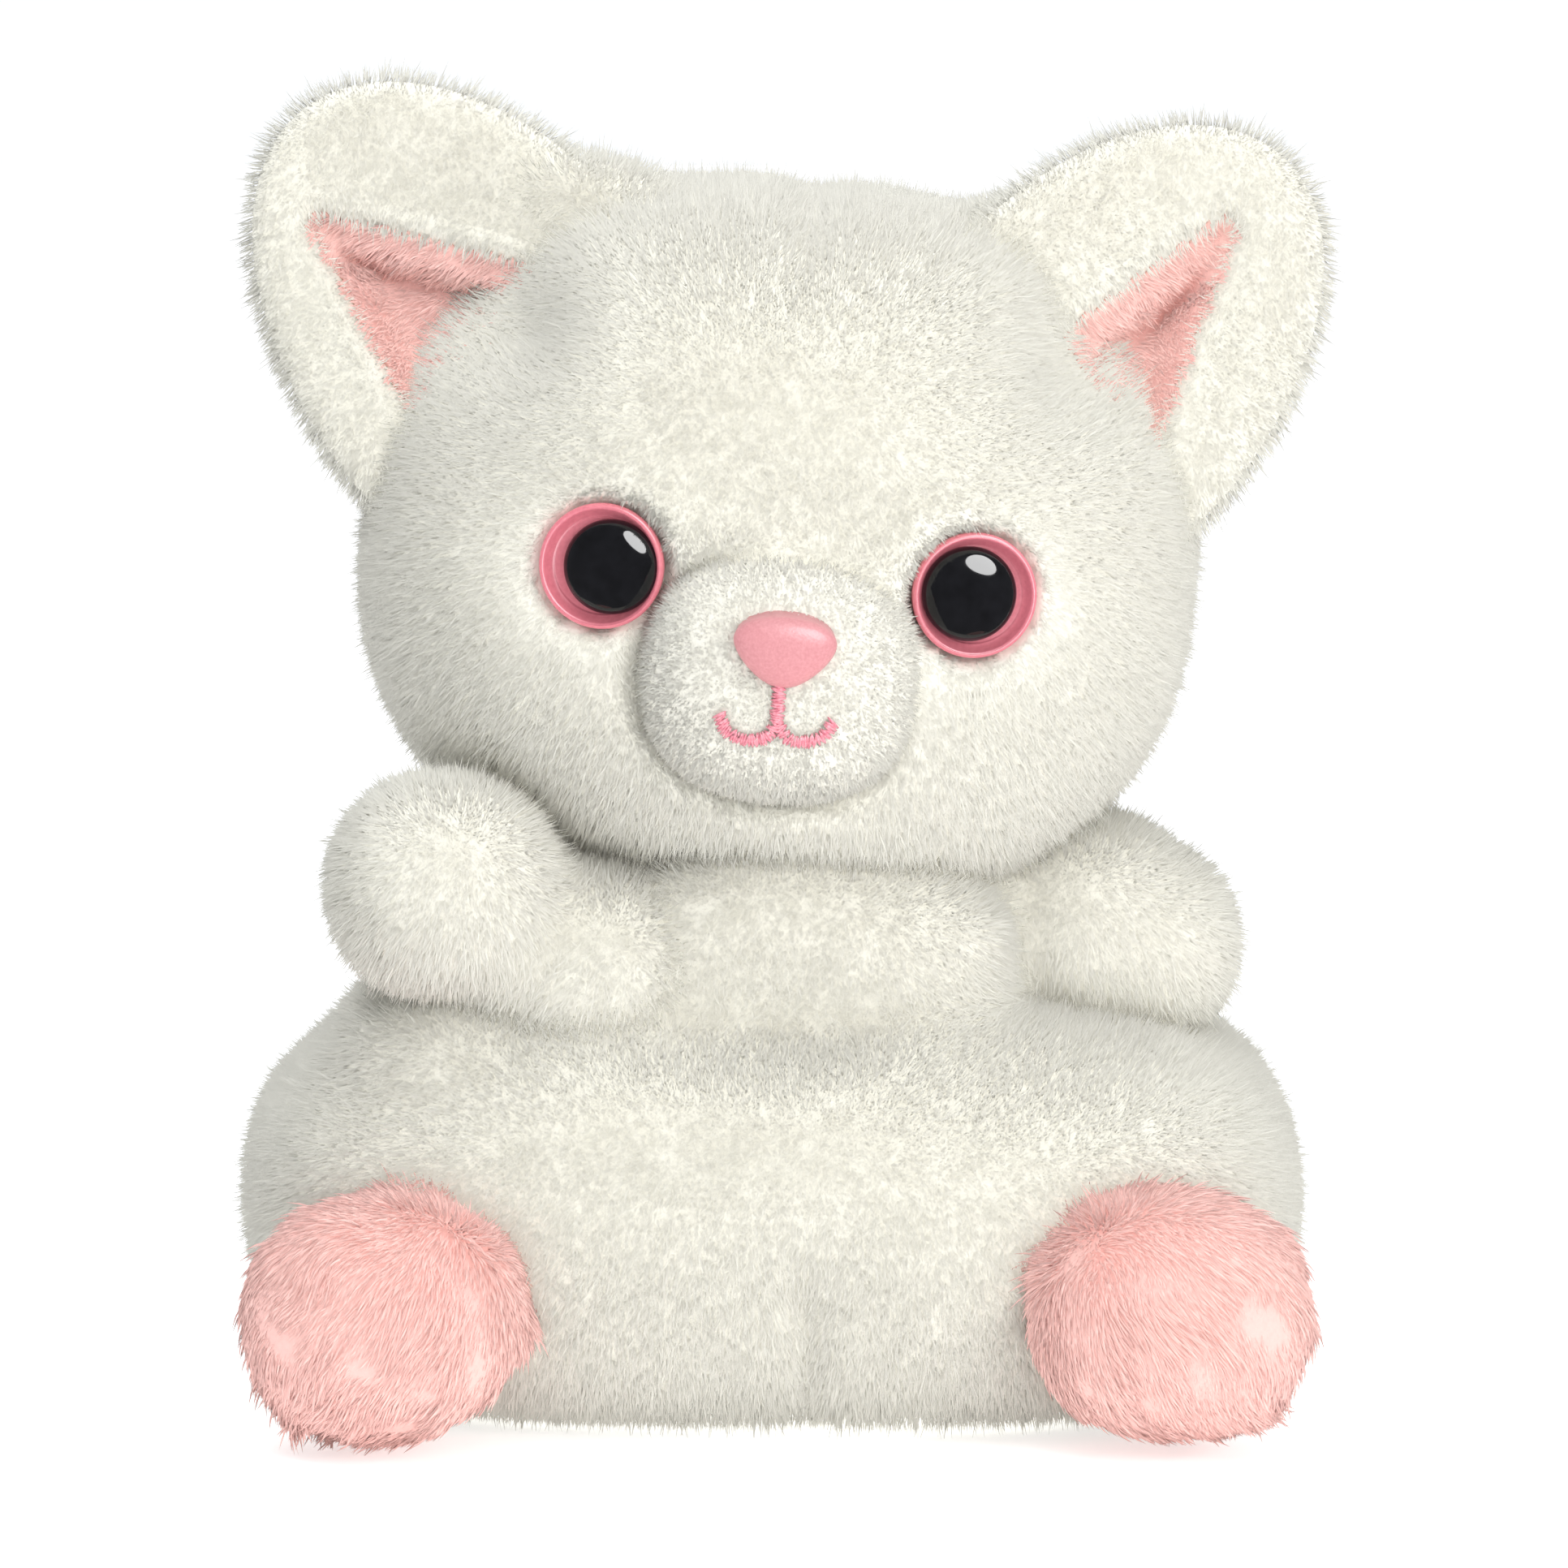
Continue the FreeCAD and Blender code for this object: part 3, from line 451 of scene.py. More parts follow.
def scatter(item, density, seed):
    """Random points on a mesh's faces with their smooth normals."""
    item.data.calc_loop_triangles()
    corners = read_threes(item.data.loop_triangles, "vertices", np.int32)
    points, normals = points_of(item), normals_of(item)
    a, b, c = (points[corners[:, k]] for k in range(3))
    areas = np.linalg.norm(np.cross(b - a, c - a), axis=1) / 2
    rng = np.random.default_rng(seed)
    count = int(areas.sum() * density * (1.0))
    chosen = np.searchsorted(np.cumsum(areas), rng.random(count) * areas.sum()).clip(0, len(areas) - 1)
    u, v = rng.random((2, count))
    u = np.sqrt(u)
    weights = np.stack([1 - u, u * (1 - v), u * v], 1)[:, :, None]
    near = corners[chosen]
    return (points[near] * weights).sum(1), unit((normals[near] * weights).sum(1))


def tangent(vectors, outward):
    return vectors - (vectors * outward).sum(-1, keepdims=True) * outward


def fibres(spots, outward, comb, length, width, rng, curl, tidy):
    """Closed fibres, pointed at both ends: a buried root, a ring or two of three points, a tip."""
    count = len(spots)
    lean = tangent(comb, outward)
    start = unit(outward + lean)
    across = unit(np.cross(start, rng.normal(size=(count, 3))))
    beside = np.cross(start, across)
    ring = rings_about(across, beside, 3)
    half = (width / 2)[:, None, None]
    root = spots - outward * ROOT_DEPTH
    reach = length[:, None] + ROOT_DEPTH
    bend = unit(start + lean * curl)
    rows, shading = [root[:, None]], [outward[:, None]]
    radial = outward[:, None] * tidy + ring * (1 - tidy)
    heights = (0.3, 0.7) if curl else (0.45,)       # of the rings, as a share of the length
    for height in heights:
        way = unit(start * (1 - height) + bend * height)
        rows.append((root + way * reach * height)[:, None] + ring * half)
        shading.append(radial)
    rows.append((root + bend * reach)[:, None])
    shading.append(unit(outward * tidy + bend * (1 - tidy))[:, None])
    size = 3 * len(heights) + 2
    faces = [(0, 1 + (k + 1) % 3, 1 + k) for k in range(3)]
    for row in range(len(heights) - 1):
        for k in range(3):
            a, b, n = 1 + 3 * row, 4 + 3 * row, (k + 1) % 3
            faces += [(a + k, a + n, b + n), (a + k, b + n, b + k)]
    faces += [(size - 4 + k, size - 4 + (k + 1) % 3, size - 1) for k in range(3)]
    faces = (np.array(faces)[None] + (np.arange(count) * size)[:, None, None]).reshape(-1, 3)
    points = np.concatenate(rows, 1)
    return points.reshape(-1, 3), faces, unit(np.concatenate(shading, 1)).reshape(-1, 3)


def grow(name, skin, body, comb, seed, slot, tones, density, length, width, keep=None, curl=0.0,
         ruffle=0.17, tuft=0.02, tuft_size=3.0, tidy=0.96):
    """A pile of fibres on a skin, riding on a body, in pieces of no more than MOST_FACES.

    Density is in fibres per square millimetre; ruffle is how untidily the fibres lean, tuft how
    much they bunch, and tidy how far their shading follows the skin.
    """
    spots, outward = scatter(skin, density, seed)
    if keep is not None:
        kept = keep(spots, outward)
        spots, outward = spots[kept], outward[kept]
    rng = np.random.default_rng(seed + 1)
    count = len(spots)
    reach = length(spots) if callable(length) else np.full(count, length)
    reach = reach * rng.uniform(*LENGTH_SPREAD, count) * np.where(rng.random(count) < LONG_SHARE, 1.5, 1.0)
    tufts = waves(spots, tuft_size, seed + 2)
    direction = comb(spots, outward) + tufts * tuft + rng.normal(size=(count, 3)) * ruffle
    reach = reach * (1 + tuft * tufts[:, 0])
    thick = width * rng.uniform(*WIDTH_SPREAD, count)
    points, faces, shading = fibres(spots, outward, direction, reach, thick, rng, curl, tidy)
    pick = np.clip(np.round(1 + rng.normal(size=count) * 0.6), 0, len(tones) - 1)
    faces_each, points_each = len(faces) // count, len(points) // count
    pieces = math.ceil(len(faces) / MOST_FACES)
    order = np.argsort(spots[:, 0], kind="stable")
    for number, mine in enumerate(np.array_split(order, pieces)):
        own = (mine[:, None] * points_each + np.arange(points_each)).ravel()
        own_faces = faces[:faces_each][None] + (np.arange(len(mine)) * points_each)[:, None, None]
        pile = make_object(f"{name}_{number + 1}", points[own], own_faces.reshape(-1, 3))
        for tone in tones:
            pile.data.materials.append(tone)
        pile.data.polygons.foreach_set("material_index", np.repeat(pick[mine].astype(np.int32), faces_each))
        custom = pile.data.attributes.new("custom_normal", "FLOAT_VECTOR", "POINT")
        custom.data.foreach_set("vector", shading[own].astype(np.float32).ravel())
        pile.data.update()
        pile.visible_shadow = False         # light passes through such fine fibres
        settle(pile, body, slot)


def combed(direction, amount):
    """A comb that draws the pile one way."""
    way = np.asarray(direction, float)
    return lambda spots, outward: tangent(np.tile(way, (len(spots), 1)), outward) * amount


WHITE_PILE = dict(slot="white_plush", tones=WHITE_FIBRES, density=14, length=1.84, width=0.14)
EAR_PILE = dict(WHITE_PILE, length=1.76)
MUZZLE_PILE = dict(slot="muzzle_plush", tones=MUZZLE_SHADED_FIBRES, density=14, length=0.85, width=0.17, ruffle=0.32)
LINING_PILE = dict(slot="pink_plush", tones=PINK_FIBRES, density=18, length=1.35, width=0.17,
                   curl=0.4, tuft=0.2, tuft_size=4, tidy=0.8)
FOOT_PILE = dict(slot="pink_plush", tones=PINK_FIBRES, density=14, length=1.8, width=0.2,
                 curl=0.6, tuft=0.34, tuft_size=6, tidy=0.55, ruffle=0.16)
SIDE_SEAM = 3     # the pile's front and back pieces meet here


# ---- head

HEAD_POWER = 2.45
EAR_WEBS = {LEFT: (-18.5, -2.2, 27.2), RIGHT: (19.5, -2.2, 26.6)}      # where the ears run into the crown
WEB_HALF = (10.5, 5.2, 6.6)
WEB_SLOPE = math.radians(17)
EYE_CLEARING = 5.8      # no pile grows this near to an eye's middle
MUZZLE_HALF = np.array([13.0, 11.0, 11.9])
MUZZLE_POWER = 2.4


def muzzle_middle():
    """The middle of the muzzle's form, whose front is where the CAD muzzle's is, less its pile."""
    low, high = box_mm("muzzle_cover")
    found = to_head((low + high) / 2)
    found[1] = low[1] + 0.8 + MUZZLE_HALF[1]
    found[2] += 0.9
    return found


MUZZLE = muzzle_middle()


def muzzle_gap(local):
    """How far points of the head's frame are outside the muzzle's outline, as a share of its size."""
    return np.linalg.norm((local - MUZZLE)[:, [0, 2]] / MUZZLE_HALF[[0, 2]], axis=1) - 1


def from_eye(local, side):
    """How far points of the head's frame are from an eye's middle, seen from the front."""
    eye = to_head(EYES[side])
    return np.hypot(local[:, 0] - eye[0], local[:, 2] - eye[2])


def ear_root(side):
    return to_head(pivot(side_name(side) + "_ear_fold"))


def eye_floor(side):
    """The middle of an eye's bowl floor, and the way the eye looks."""
    name = side_name(side) + "_eye"
    pupil_middle = middle(name + "_pupil")
    axis = unit(pupil_middle - middle(name + "_washer"))
    return pupil_middle - axis * 1.35, axis


def make_head_skin():
    points, quads = egg(HEAD_HALF - 0.4, HEAD_POWER, 72)
    cheeks = ease(4, -14, points[:, 2])
    points[:, 0] *= 1 + 0.03 * cheeks + 0.012 * ease(0, 20, points[:, 0])
    points[:, 2] *= 1 + 0.045 * ease(-5, -25, points[:, 2])
    points[:, 2] -= 2.2 * np.exp(-((points[:, 0] - 8) / 20) ** 2) * ease(-12, -28, points[:, 2])
    forms = [(points, quads)]
    for side, centre in EAR_WEBS.items():
        web, web_quads = egg(WEB_HALF, 2.0, 24)
        forms.append((turn_y(web, -side * WEB_SLOPE) + centre, web_quads))
    skin = melt("head_skin", forms, voxel=1.25, rounds=12)
    points = points_of(skin)
    for side in SIDES:
        dent = mound(points, ear_root(side) + [side * 2, -14, 1], [13, 14, 12])
        points[:, 1] += 7.5 * dent
        corner = mound(points, [side * 27.0, -12, 19.5], [7.5, 14, 6.5])
        points[:, [0, 2]] *= (1 - 0.10 * corner)[:, None]
    crease = np.exp(-((muzzle_gap(points) - 0.02) / 0.13) ** 2) * ease(0, -10, points[:, 1])
    points[:, 1] += crease * (0.2 + 2.2 * ease(8, -8, points[:, 0] + points[:, 2] + 6))
    crown_seam = np.exp(-((points[:, 0] - 0.5) / 2.2) ** 2) * ease(20, 30, points[:, 2])
    points[:, 2] -= 0.9 * crown_seam
    for side in SIDES:
        eye = to_head(EYES[side])
        dent = mound(points, eye + [0, -2, 0], [8.5, 14, 8.5])
        points[:, 1] += 1.2 * dent
    points = from_head(points + waves(points, 30, 5) * 0.2)
    for side in SIDES:
        floor, axis = eye_floor(side)
        depth = (points - floor) @ axis
        away = np.linalg.norm(points - floor - depth[:, None] * axis, axis=1)
        limit = -2.3 + 9 * ease(5.6, 8.4, away)
        near = (away < 9) & (points[:, 1] < 0)
        points -= np.where(near, np.maximum(depth - limit, 0), 0)[:, None] * axis
    move_points(skin, points)
    settle(skin, "head", "white_plush", "head_front_cover", "head_back_cover", fill=0.85)
    return skin


def make_muzzle_skin():
    points, quads = egg(MUZZLE_HALF, MUZZLE_POWER, 40)
    points += MUZZLE
    skin = make_object("muzzle_skin", from_head(points), quads, MUZZLE_CLOTH)
    settle(skin, "head", "muzzle_plush", "muzzle_cover", fill=0.8)
    return skin


def make_head():
    skin = make_head_skin()
    muzzle = make_muzzle_skin()
    make_nose()
    make_mouth()
    for side in SIDES:
        make_eye(side)

    def keep(spots, outward):
        local = to_head(spots)
        clear = np.ones(len(spots), bool)
        for side in SIDES:
            clear &= (from_eye(local, side) > EYE_CLEARING) | (local[:, 1] > 0)
        inside = ((local[:, [0, 2]] - MUZZLE[[0, 2]]) / (MUZZLE_HALF[[0, 2]] - 0.6)) ** 2
        return clear & ((inside.sum(1) > 1) | (local[:, 1] > 0))

    def comb(spots, outward):
        local = to_head(spots)
        way = np.tile([0.0, 0.0, -0.3], (len(spots), 1))
        front = local[:, 1] < 0
        parted = [(MUZZLE, 0.5 * np.exp(-5 * np.maximum(muzzle_gap(local), 0)))]
        for side in SIDES:
            near = np.exp(-np.maximum(from_eye(local, side) - 6, 0) / 2.5)
            parted.append((to_head(EYES[side]), 1.1 * near))
        for centre, near in parted:
            away = unit((local - centre) * [1, 0, 1])
            way = way + turn_y(away, HEAD_ROLL) * (near * front)[:, None]
        return way

    def length(spots):
        local = to_head(spots)
        reach = np.full(len(spots), WHITE_PILE["length"])
        front = local[:, 1] < 0
        for side in SIDES:
            away = from_eye(local, side)
            reach = np.where(front, reach * (0.62 + 0.38 * ease(6, 11, away)), reach)
        near = ease(0.0, 0.35, muzzle_gap(local))
        return np.where(front, reach * (0.6 + 0.4 * near), reach)

    for name, wanted, seed in (("head_front_pile", lambda s: s[:, 1] < SIDE_SEAM, 11),
                               ("head_back_pile", lambda s: s[:, 1] >= SIDE_SEAM, 12)):
        grow(name, skin, "head", comb, seed, **dict(WHITE_PILE, length=length),
             keep=lambda s, n, wanted=wanted: keep(s, n) & wanted(s))

    def keep_muzzle(spots, outward):
        local = to_head(spots)
        return (local[:, 1] < MUZZLE[1] + 2) & (mouth_distance(local) > 0.3)

    grow("muzzle_pile", muzzle, "head", combed((0, 0, -1), 0.2), 13, **MUZZLE_PILE, keep=keep_muzzle)
    return skin, muzzle


# ---- eyes, nose and mouth

HEAD_UP = turn_y(np.array([0.0, 0.0, 1.0]), HEAD_ROLL)
PUPIL_SHIFT = {LEFT: (0.9, 0.0), RIGHT: (-0.5, 0.1)}      # how far each pupil sits off its bowl's middle
DOME_FOOT, DOME_RISE = 0.55, 2.25
BOWL = [(0, -11), (1.6, -11), (1.6, -1.6), (5.0, -1.6), (5.85, -0.6), (5.95, 0.8),       # radius, height
        (5.72, 1.15), (5.42, 1.1), (5.2, 0.6), (4.85, 0.15), (4.4, 0), (0, 0)]
NOSE_WIDE, NOSE_TALL, NOSE_PROUD = 4.55, 3.25, 2.4
NOSE_SKIRT = 2.5        # how deep the moulding is sunk in the muzzle
NOSE_TILT = math.radians(14)


def make_eye(side):
    """A satin bowl with a rolled rim, and a glossy domed pupil set in it."""
    name = side_name(side) + "_eye"
    low, high = box_mm(name + "_pupil")
    radius = (high[2] - low[2]) / 2
    floor, axis = eye_floor(side)
    points, faces = lathe(rounded(BOWL, 0.3, 4))
    dish = make_object(name + "_bowl", aimed(points, floor, axis, HEAD_UP), faces, IRIS)
    settle(dish, "head", "iris_plastic", name + "_dish")
    dome = [(radius * math.sin(turn), DOME_FOOT + DOME_RISE * math.cos(turn))
            for turn in np.linspace(math.pi / 2, 0, 24)]
    dome[-1] = (0, DOME_FOOT + DOME_RISE)
    points, faces = lathe([(0, -0.2), (radius, -0.2)] + dome)
    across, up = PUPIL_SHIFT[side]
    points = points + [across, up, 0]
    pupil = make_object(name + "_dome", aimed(points, floor, axis, HEAD_UP), faces, PUPIL)
    settle(pupil, "head", "pupil_plastic", name + "_pupil")


def make_nose():
    """A moulded nose: a rounded triangle, domed, with its skirt sunk in the muzzle."""
    low, high = box_mm("nose")
    centre = to_head([(low[0] + high[0]) / 2, 0, (low[2] + high[2]) / 2])
    turns = np.linspace(0, 2 * math.pi, 72, endpoint=False)
    rows = 22
    points = []
    for row in range(rows + 1):
        bend = math.pi / 2 * row / rows
        share, height = math.cos(bend) ** 0.9, math.sin(bend) ** 0.9
        taper = 1 + 0.34 * np.sin(turns) * share
        roundness = (np.abs(np.cos(turns)) ** 2.2 + np.abs(np.sin(turns)) ** 2.2) ** (-1 / 2.2)
        x = NOSE_WIDE * share * np.cos(turns) * taper * roundness
        z = NOSE_TALL * share * np.sin(turns) * roundness * (1 - 0.06 * np.cos(2 * turns)) - 0.15
        points.append(np.stack([x, np.full_like(x, -NOSE_PROUD * height), z], 1))
    skirt = points[0] * [0.93, 1, 0.93] + [0, NOSE_SKIRT, 0]
    ends = np.array([[0, NOSE_SKIRT, 0], [0, -NOSE_PROUD, -0.15]])
    points = np.concatenate([skirt] + points[:-1] + [ends])
    base = muzzle_front(np.array([[centre[0], centre[2]]]))[0]
    c, s = math.cos(NOSE_TILT), math.sin(NOSE_TILT)
    points = points @ np.array([[1, 0, 0], [0, c, s], [0, -s, c]])
    points += [centre[0], base - 0.5, centre[2]]
    post = tube([(centre[0], base - 1, centre[2]), (centre[0], base + 9, centre[2])], 1.2, 16)
    points, faces = join_forms([(points, ring_faces(rows + 1, len(turns))), post])
    nose = make_object("nose_moulding", from_head(points), faces, NOSE)
    settle(nose, "head", "nose_plastic", "nose")


# the mouth's drawn lines, across and up in the head's frame: a stem, then an arc to each side
MOUTH = [[(0.9, -10.9), (1.0, -12.7), (1.0, -14.6)],
         [(1.0, -14.6), (0.1, -16.0), (-1.8, -16.4), (-3.6, -15.7), (-4.5, -14.0)],
         [(1.0, -14.6), (2.3, -16.0), (3.8, -16.1), (5.4, -15.5), (6.3, -14.0)]]


def along(points, step):
    """Evenly spaced points and directions on a smooth curve through some points."""
    points = np.asarray(points, float)
    fine = np.linspace(0, len(points) - 1, 200)
    padded = np.vstack([2 * points[0] - points[1], points, 2 * points[-1] - points[-2]])
    index = np.clip(fine.astype(int), 0, len(points) - 2)
    t = (fine - index)[:, None]
    p0, p1, p2, p3 = (padded[index + k] for k in range(4))
    curve = 0.5 * (2 * p1 + (p2 - p0) * t + (2 * p0 - 5 * p1 + 4 * p2 - p3) * t ** 2
                   + (3 * p1 - p0 - 3 * p2 + p3) * t ** 3)
    lengths = np.concatenate([[0], np.cumsum(np.linalg.norm(np.diff(curve, axis=0), axis=1))])
    places = np.arange(step / 2, lengths[-1], step)
    spots, ahead = (np.stack([np.interp(places + more, lengths, column) for column in curve.T], 1)
                    for more in (0, 0.05))
    return spots, unit(ahead - spots + 1e-9)


def tube(path, radii, sides=6):
    """A closed tube of triangles along a path."""
    path = np.asarray(path, float)
    radii = np.broadcast_to(radii, len(path))
    ahead = unit(np.gradient(path, axis=0))
    side = unit(np.cross(ahead, [0.31, 0.17, 0.93]))
    other = np.cross(ahead, side)
    ring = rings_about(side, other, sides)
    points = (path[:, None] + ring * radii[:, None, None]).reshape(-1, 3)
    return np.concatenate([points, path[[0, -1]]]), ring_faces(len(path), sides)


def muzzle_front(places):
    """How far forward the muzzle's skin is at some (across, up) places in the head's frame."""
    away = np.abs((places - MUZZLE[[0, 2]]) / MUZZLE_HALF[[0, 2]])
    share = np.clip(1 - (away ** MUZZLE_POWER).sum(1), 0.01, 1) ** (1 / MUZZLE_POWER)
    return MUZZLE[1] - MUZZLE_HALF[1] * share


def make_mouth():
    """Satin stitches side by side across a drawn line: a stem and two upturned arcs."""
    rng = np.random.default_rng(90)
    stitches = []
    for strand in MOUTH:
        spots, ahead = along(strand, 0.24)
        for spot, way in zip(spots, ahead):
            lean = rng.normal() * 0.25
            across = np.array([-way[1], way[0]]) + way * lean
            half = rng.uniform(0.56, 0.72)
            steps = np.linspace(-1, 1, 5)
            flat = spot + steps[:, None] * across * half
            front = muzzle_front(flat) - 0.45 - 0.32 * (1 - steps ** 2) + rng.normal() * 0.05
            path = np.column_stack([flat[:, 0], front, flat[:, 1]])
            stitches.append(tube(path, [0.07, 0.15, 0.16, 0.15, 0.07]))
    points, faces = join_forms(stitches)
    mouth = make_object("mouth_stitches", from_head(points), faces, THREAD)
    settle(mouth, "head", "pink_thread", "mouth_embroidery")


def mouth_distance(local):
    """How far points of the head's frame are from the mouth's drawn line, seen from the front."""
    drawn = np.concatenate([along(strand, 0.3)[0] for strand in MOUTH])
    away = local[:, None, [0, 2]] - drawn[None]
    return np.linalg.norm(away, axis=2).min(1)


# ---- ears

def triangle_distance(points, corners):
    """Signed distance from a triangle, negative inside."""
    corners = np.asarray(corners, float)
    best = np.full(len(points), 1e9)
    inside = np.ones(len(points), bool)
    turn = np.sign(np.cross(corners[1] - corners[0], corners[2] - corners[0]))
    for k in range(3):
        a, b = corners[k], corners[(k + 1) % 3]
        edge, away = b - a, points - a
        along = np.clip((away @ edge) / (edge @ edge), 0, 1)
        best = np.minimum(best, np.linalg.norm(away - along[:, None] * edge, axis=1))
        inside &= turn * (edge[0] * away[:, 1] - edge[1] * away[:, 0]) > 0
    return np.where(inside, -best, best)


EAR_LEAN = {LEFT: math.radians(45), RIGHT: math.radians(39)}
EAR_HALF = {LEFT: (18.6, 30.4), RIGHT: (17.6, 28.6)}
EAR_THICK = 3.6
EAR_CUP = 5.2
LINING_OVERLAP = 1.2    # how far a lining runs on past its drawn triangle
LINING_CORNERS = {LEFT: [(-46.0, 25.6), (-22.6, 22.4), (-35.8, 10.4)],     # in the head's frame
                  RIGHT: [(40.2, 32.4), (26.6, 21.4), (34.0, 11.8)]}


def head_to_ear(side, points):
    """Points of the head's frame in ear coordinates: inward across, back, root to tip."""
    return turn_y(points - ear_root(side), -side * EAR_LEAN[side]) * [-side, 1, 1]


def ear_to_toy(side, points):
    """Ear coordinates put in the toy's frame."""
    return from_head(turn_y(points * [-side, 1, 1], side * EAR_LEAN[side]) + ear_root(side))


def lining_corners(side):
    corners = np.array([(x, ear_root(side)[1], z) for x, z in LINING_CORNERS[side]])
    return head_to_ear(side, corners)[:, [0, 2]]


LINING = {side: lining_corners(side) for side in SIDES}


def ear_depth(side, across, along, front):
    """How far back the cupped ear's front or back surface lies at a place across and along it."""
    half_wide, half_long = EAR_HALF[side]
    share = np.clip(1 - (across / half_wide) ** 2 - (along / half_long) ** 2, 0, 1)
    thick = EAR_THICK * share ** 0.45
    corners = LINING[side]
    gap = triangle_distance(np.stack([across, along], 1), corners)
    cup = ease(3.0, -4.0, gap) * EAR_CUP
    edge = unit(corners[1] - corners[0])
    normal = np.array([-edge[1], edge[0]])
    normal = normal * np.sign((corners[2] - corners[0]) @ normal)
    below = (np.stack([across, along], 1) - corners[0]) @ normal
    flap = np.exp(-((below - 1.0) / 1.2) ** 2) * 1.3 - np.exp(-((below - 3.2) / 0.9) ** 2) * 1.2
    cup = cup - flap * ease(1.0, -1.5, gap)
    curve = -1.5 * (across / half_wide) ** 2 + 2.0 * (along / half_long)
    curve = curve - 4.5 * ease(20, 0, along)
    return np.where(front, -thick + cup, thick + cup * 0.35) + curve


def make_ear(side):
    name = side_name(side) + "_ear"
    half_wide, half_long = EAR_HALF[side]
    directions, quads = cube_sphere(44)
    flat = unit(directions * [1, 0, 1])
    spread = np.sqrt(np.maximum(1 - np.abs(directions[:, 1]) ** 1.6, 0))
    across = flat[:, 0] * spread * half_wide
    along = flat[:, 2] * spread * half_long
    depth = ear_depth(side, across, along, directions[:, 1] < 0)
    along = np.maximum(along, -6 + 0.1 * along)
    points = np.stack([across, depth, along], 1)
    skin = make_object(name + "_skin", ear_to_toy(side, points), quads, WHITE_CLOTH)
    if side == RIGHT:
        skin.data.flip_normals()
    settle(skin, name, "white_plush", name + "_outer", fill=0.5)

    grid = np.linspace(-1, 1, 61)
    u, v = np.meshgrid(grid * half_wide, (grid + 1) / 2 * 26, indexing="ij")
    across, along = u.ravel(), v.ravel()
    gap = triangle_distance(np.stack([across, along], 1), LINING[side])
    cells = grid_quads(np.arange(u.size).reshape(u.shape))
    cells = cells[(gap[cells] < LINING_OVERLAP).all(1)]
    used, cells = np.unique(cells, return_inverse=True)
    cells = cells.reshape(-1, 4)
    across, along = across[used], along[used]
    depth = ear_depth(side, across, along, np.ones(len(used), bool)) - 0.6
    points = np.stack([across, depth, along], 1)
    lining = make_object(name + "_lining", ear_to_toy(side, points), cells, PINK_CLOTH)
    if side == RIGHT:
        lining.data.flip_normals()
    settle(lining, name, "pink_plush", name + "_inner")

    def keep(spots, outward):
        local = to_head(spots)
        gap = triangle_distance(head_to_ear(side, local)[:, [0, 2]], LINING[side])
        front = outward[:, 1] < 0.1
        hidden = ((local / (HEAD_HALF - 2)) ** 2).sum(1) < 1
        return ~((gap < LINING_OVERLAP) & front) & ~hidden

    grow(name + "_pile", skin, name, combed((-side * 0.4, 0, -1), 0.4), 21 + side, **EAR_PILE, keep=keep)
    grow(name + "_lining_pile", lining, name, combed((side, -0.2, -0.8), 0.9), 31 + side, **LINING_PILE)
    thicken(lining, 0.4)


# ---- trunk

SEAT_HALF = np.array([49.4, 36.4, 19.6])
TORSO_HALF = np.array([24.0, 22.0, 22.0])
SEAM_X = 2.2            # the seat's short seam in front


def seat_form(less=0.0):
    centre = np.array([-0.6, (SEAT_LOW[1] + SEAT_HIGH[1]) / 2 - 0.8, 19.4])
    points, quads = egg(SEAT_HALF - less, 3.1, 48)
    return points + centre, quads


def torso_form(less=0.0):
    low, high = box_mm("torso_front_cover", "torso_back_cover")
    points, quads = egg(TORSO_HALF - less, 2.4, 40)
    return points + [0.5, (low[1] + high[1]) / 2 + 1, 40], quads


def melted_eggs(name, sizes, power, steps, voxel, rounds, forms=()):
    """A melted skin of some forms and of superellipsoids given by half size and middle."""
    forms = list(forms)
    for half, centre in sizes:
        points, quads = egg(half, power, steps)
        forms.append((points + centre, quads))
    return melt(name, forms, voxel, rounds)


TRUNK_FILLS = [((26.0, 13.0, 12.0), (-13.0, -12.5, 31.8)),      # the belly running into the seat
               ((11.0, 18.0, 10.5), (-32.6, -5.0, 29.2)),       # the left haunch
               ((12.0, 13.0, 10.8), (-30.6, -13.0, 33.2)),
               ((10.5, 18.0, 10.0), (32.6, -3.0, 28.0)),        # the right haunch
               ((20.0, 6.0, 12.0), (1.5, -17.0, 44.0))]         # the chest panel


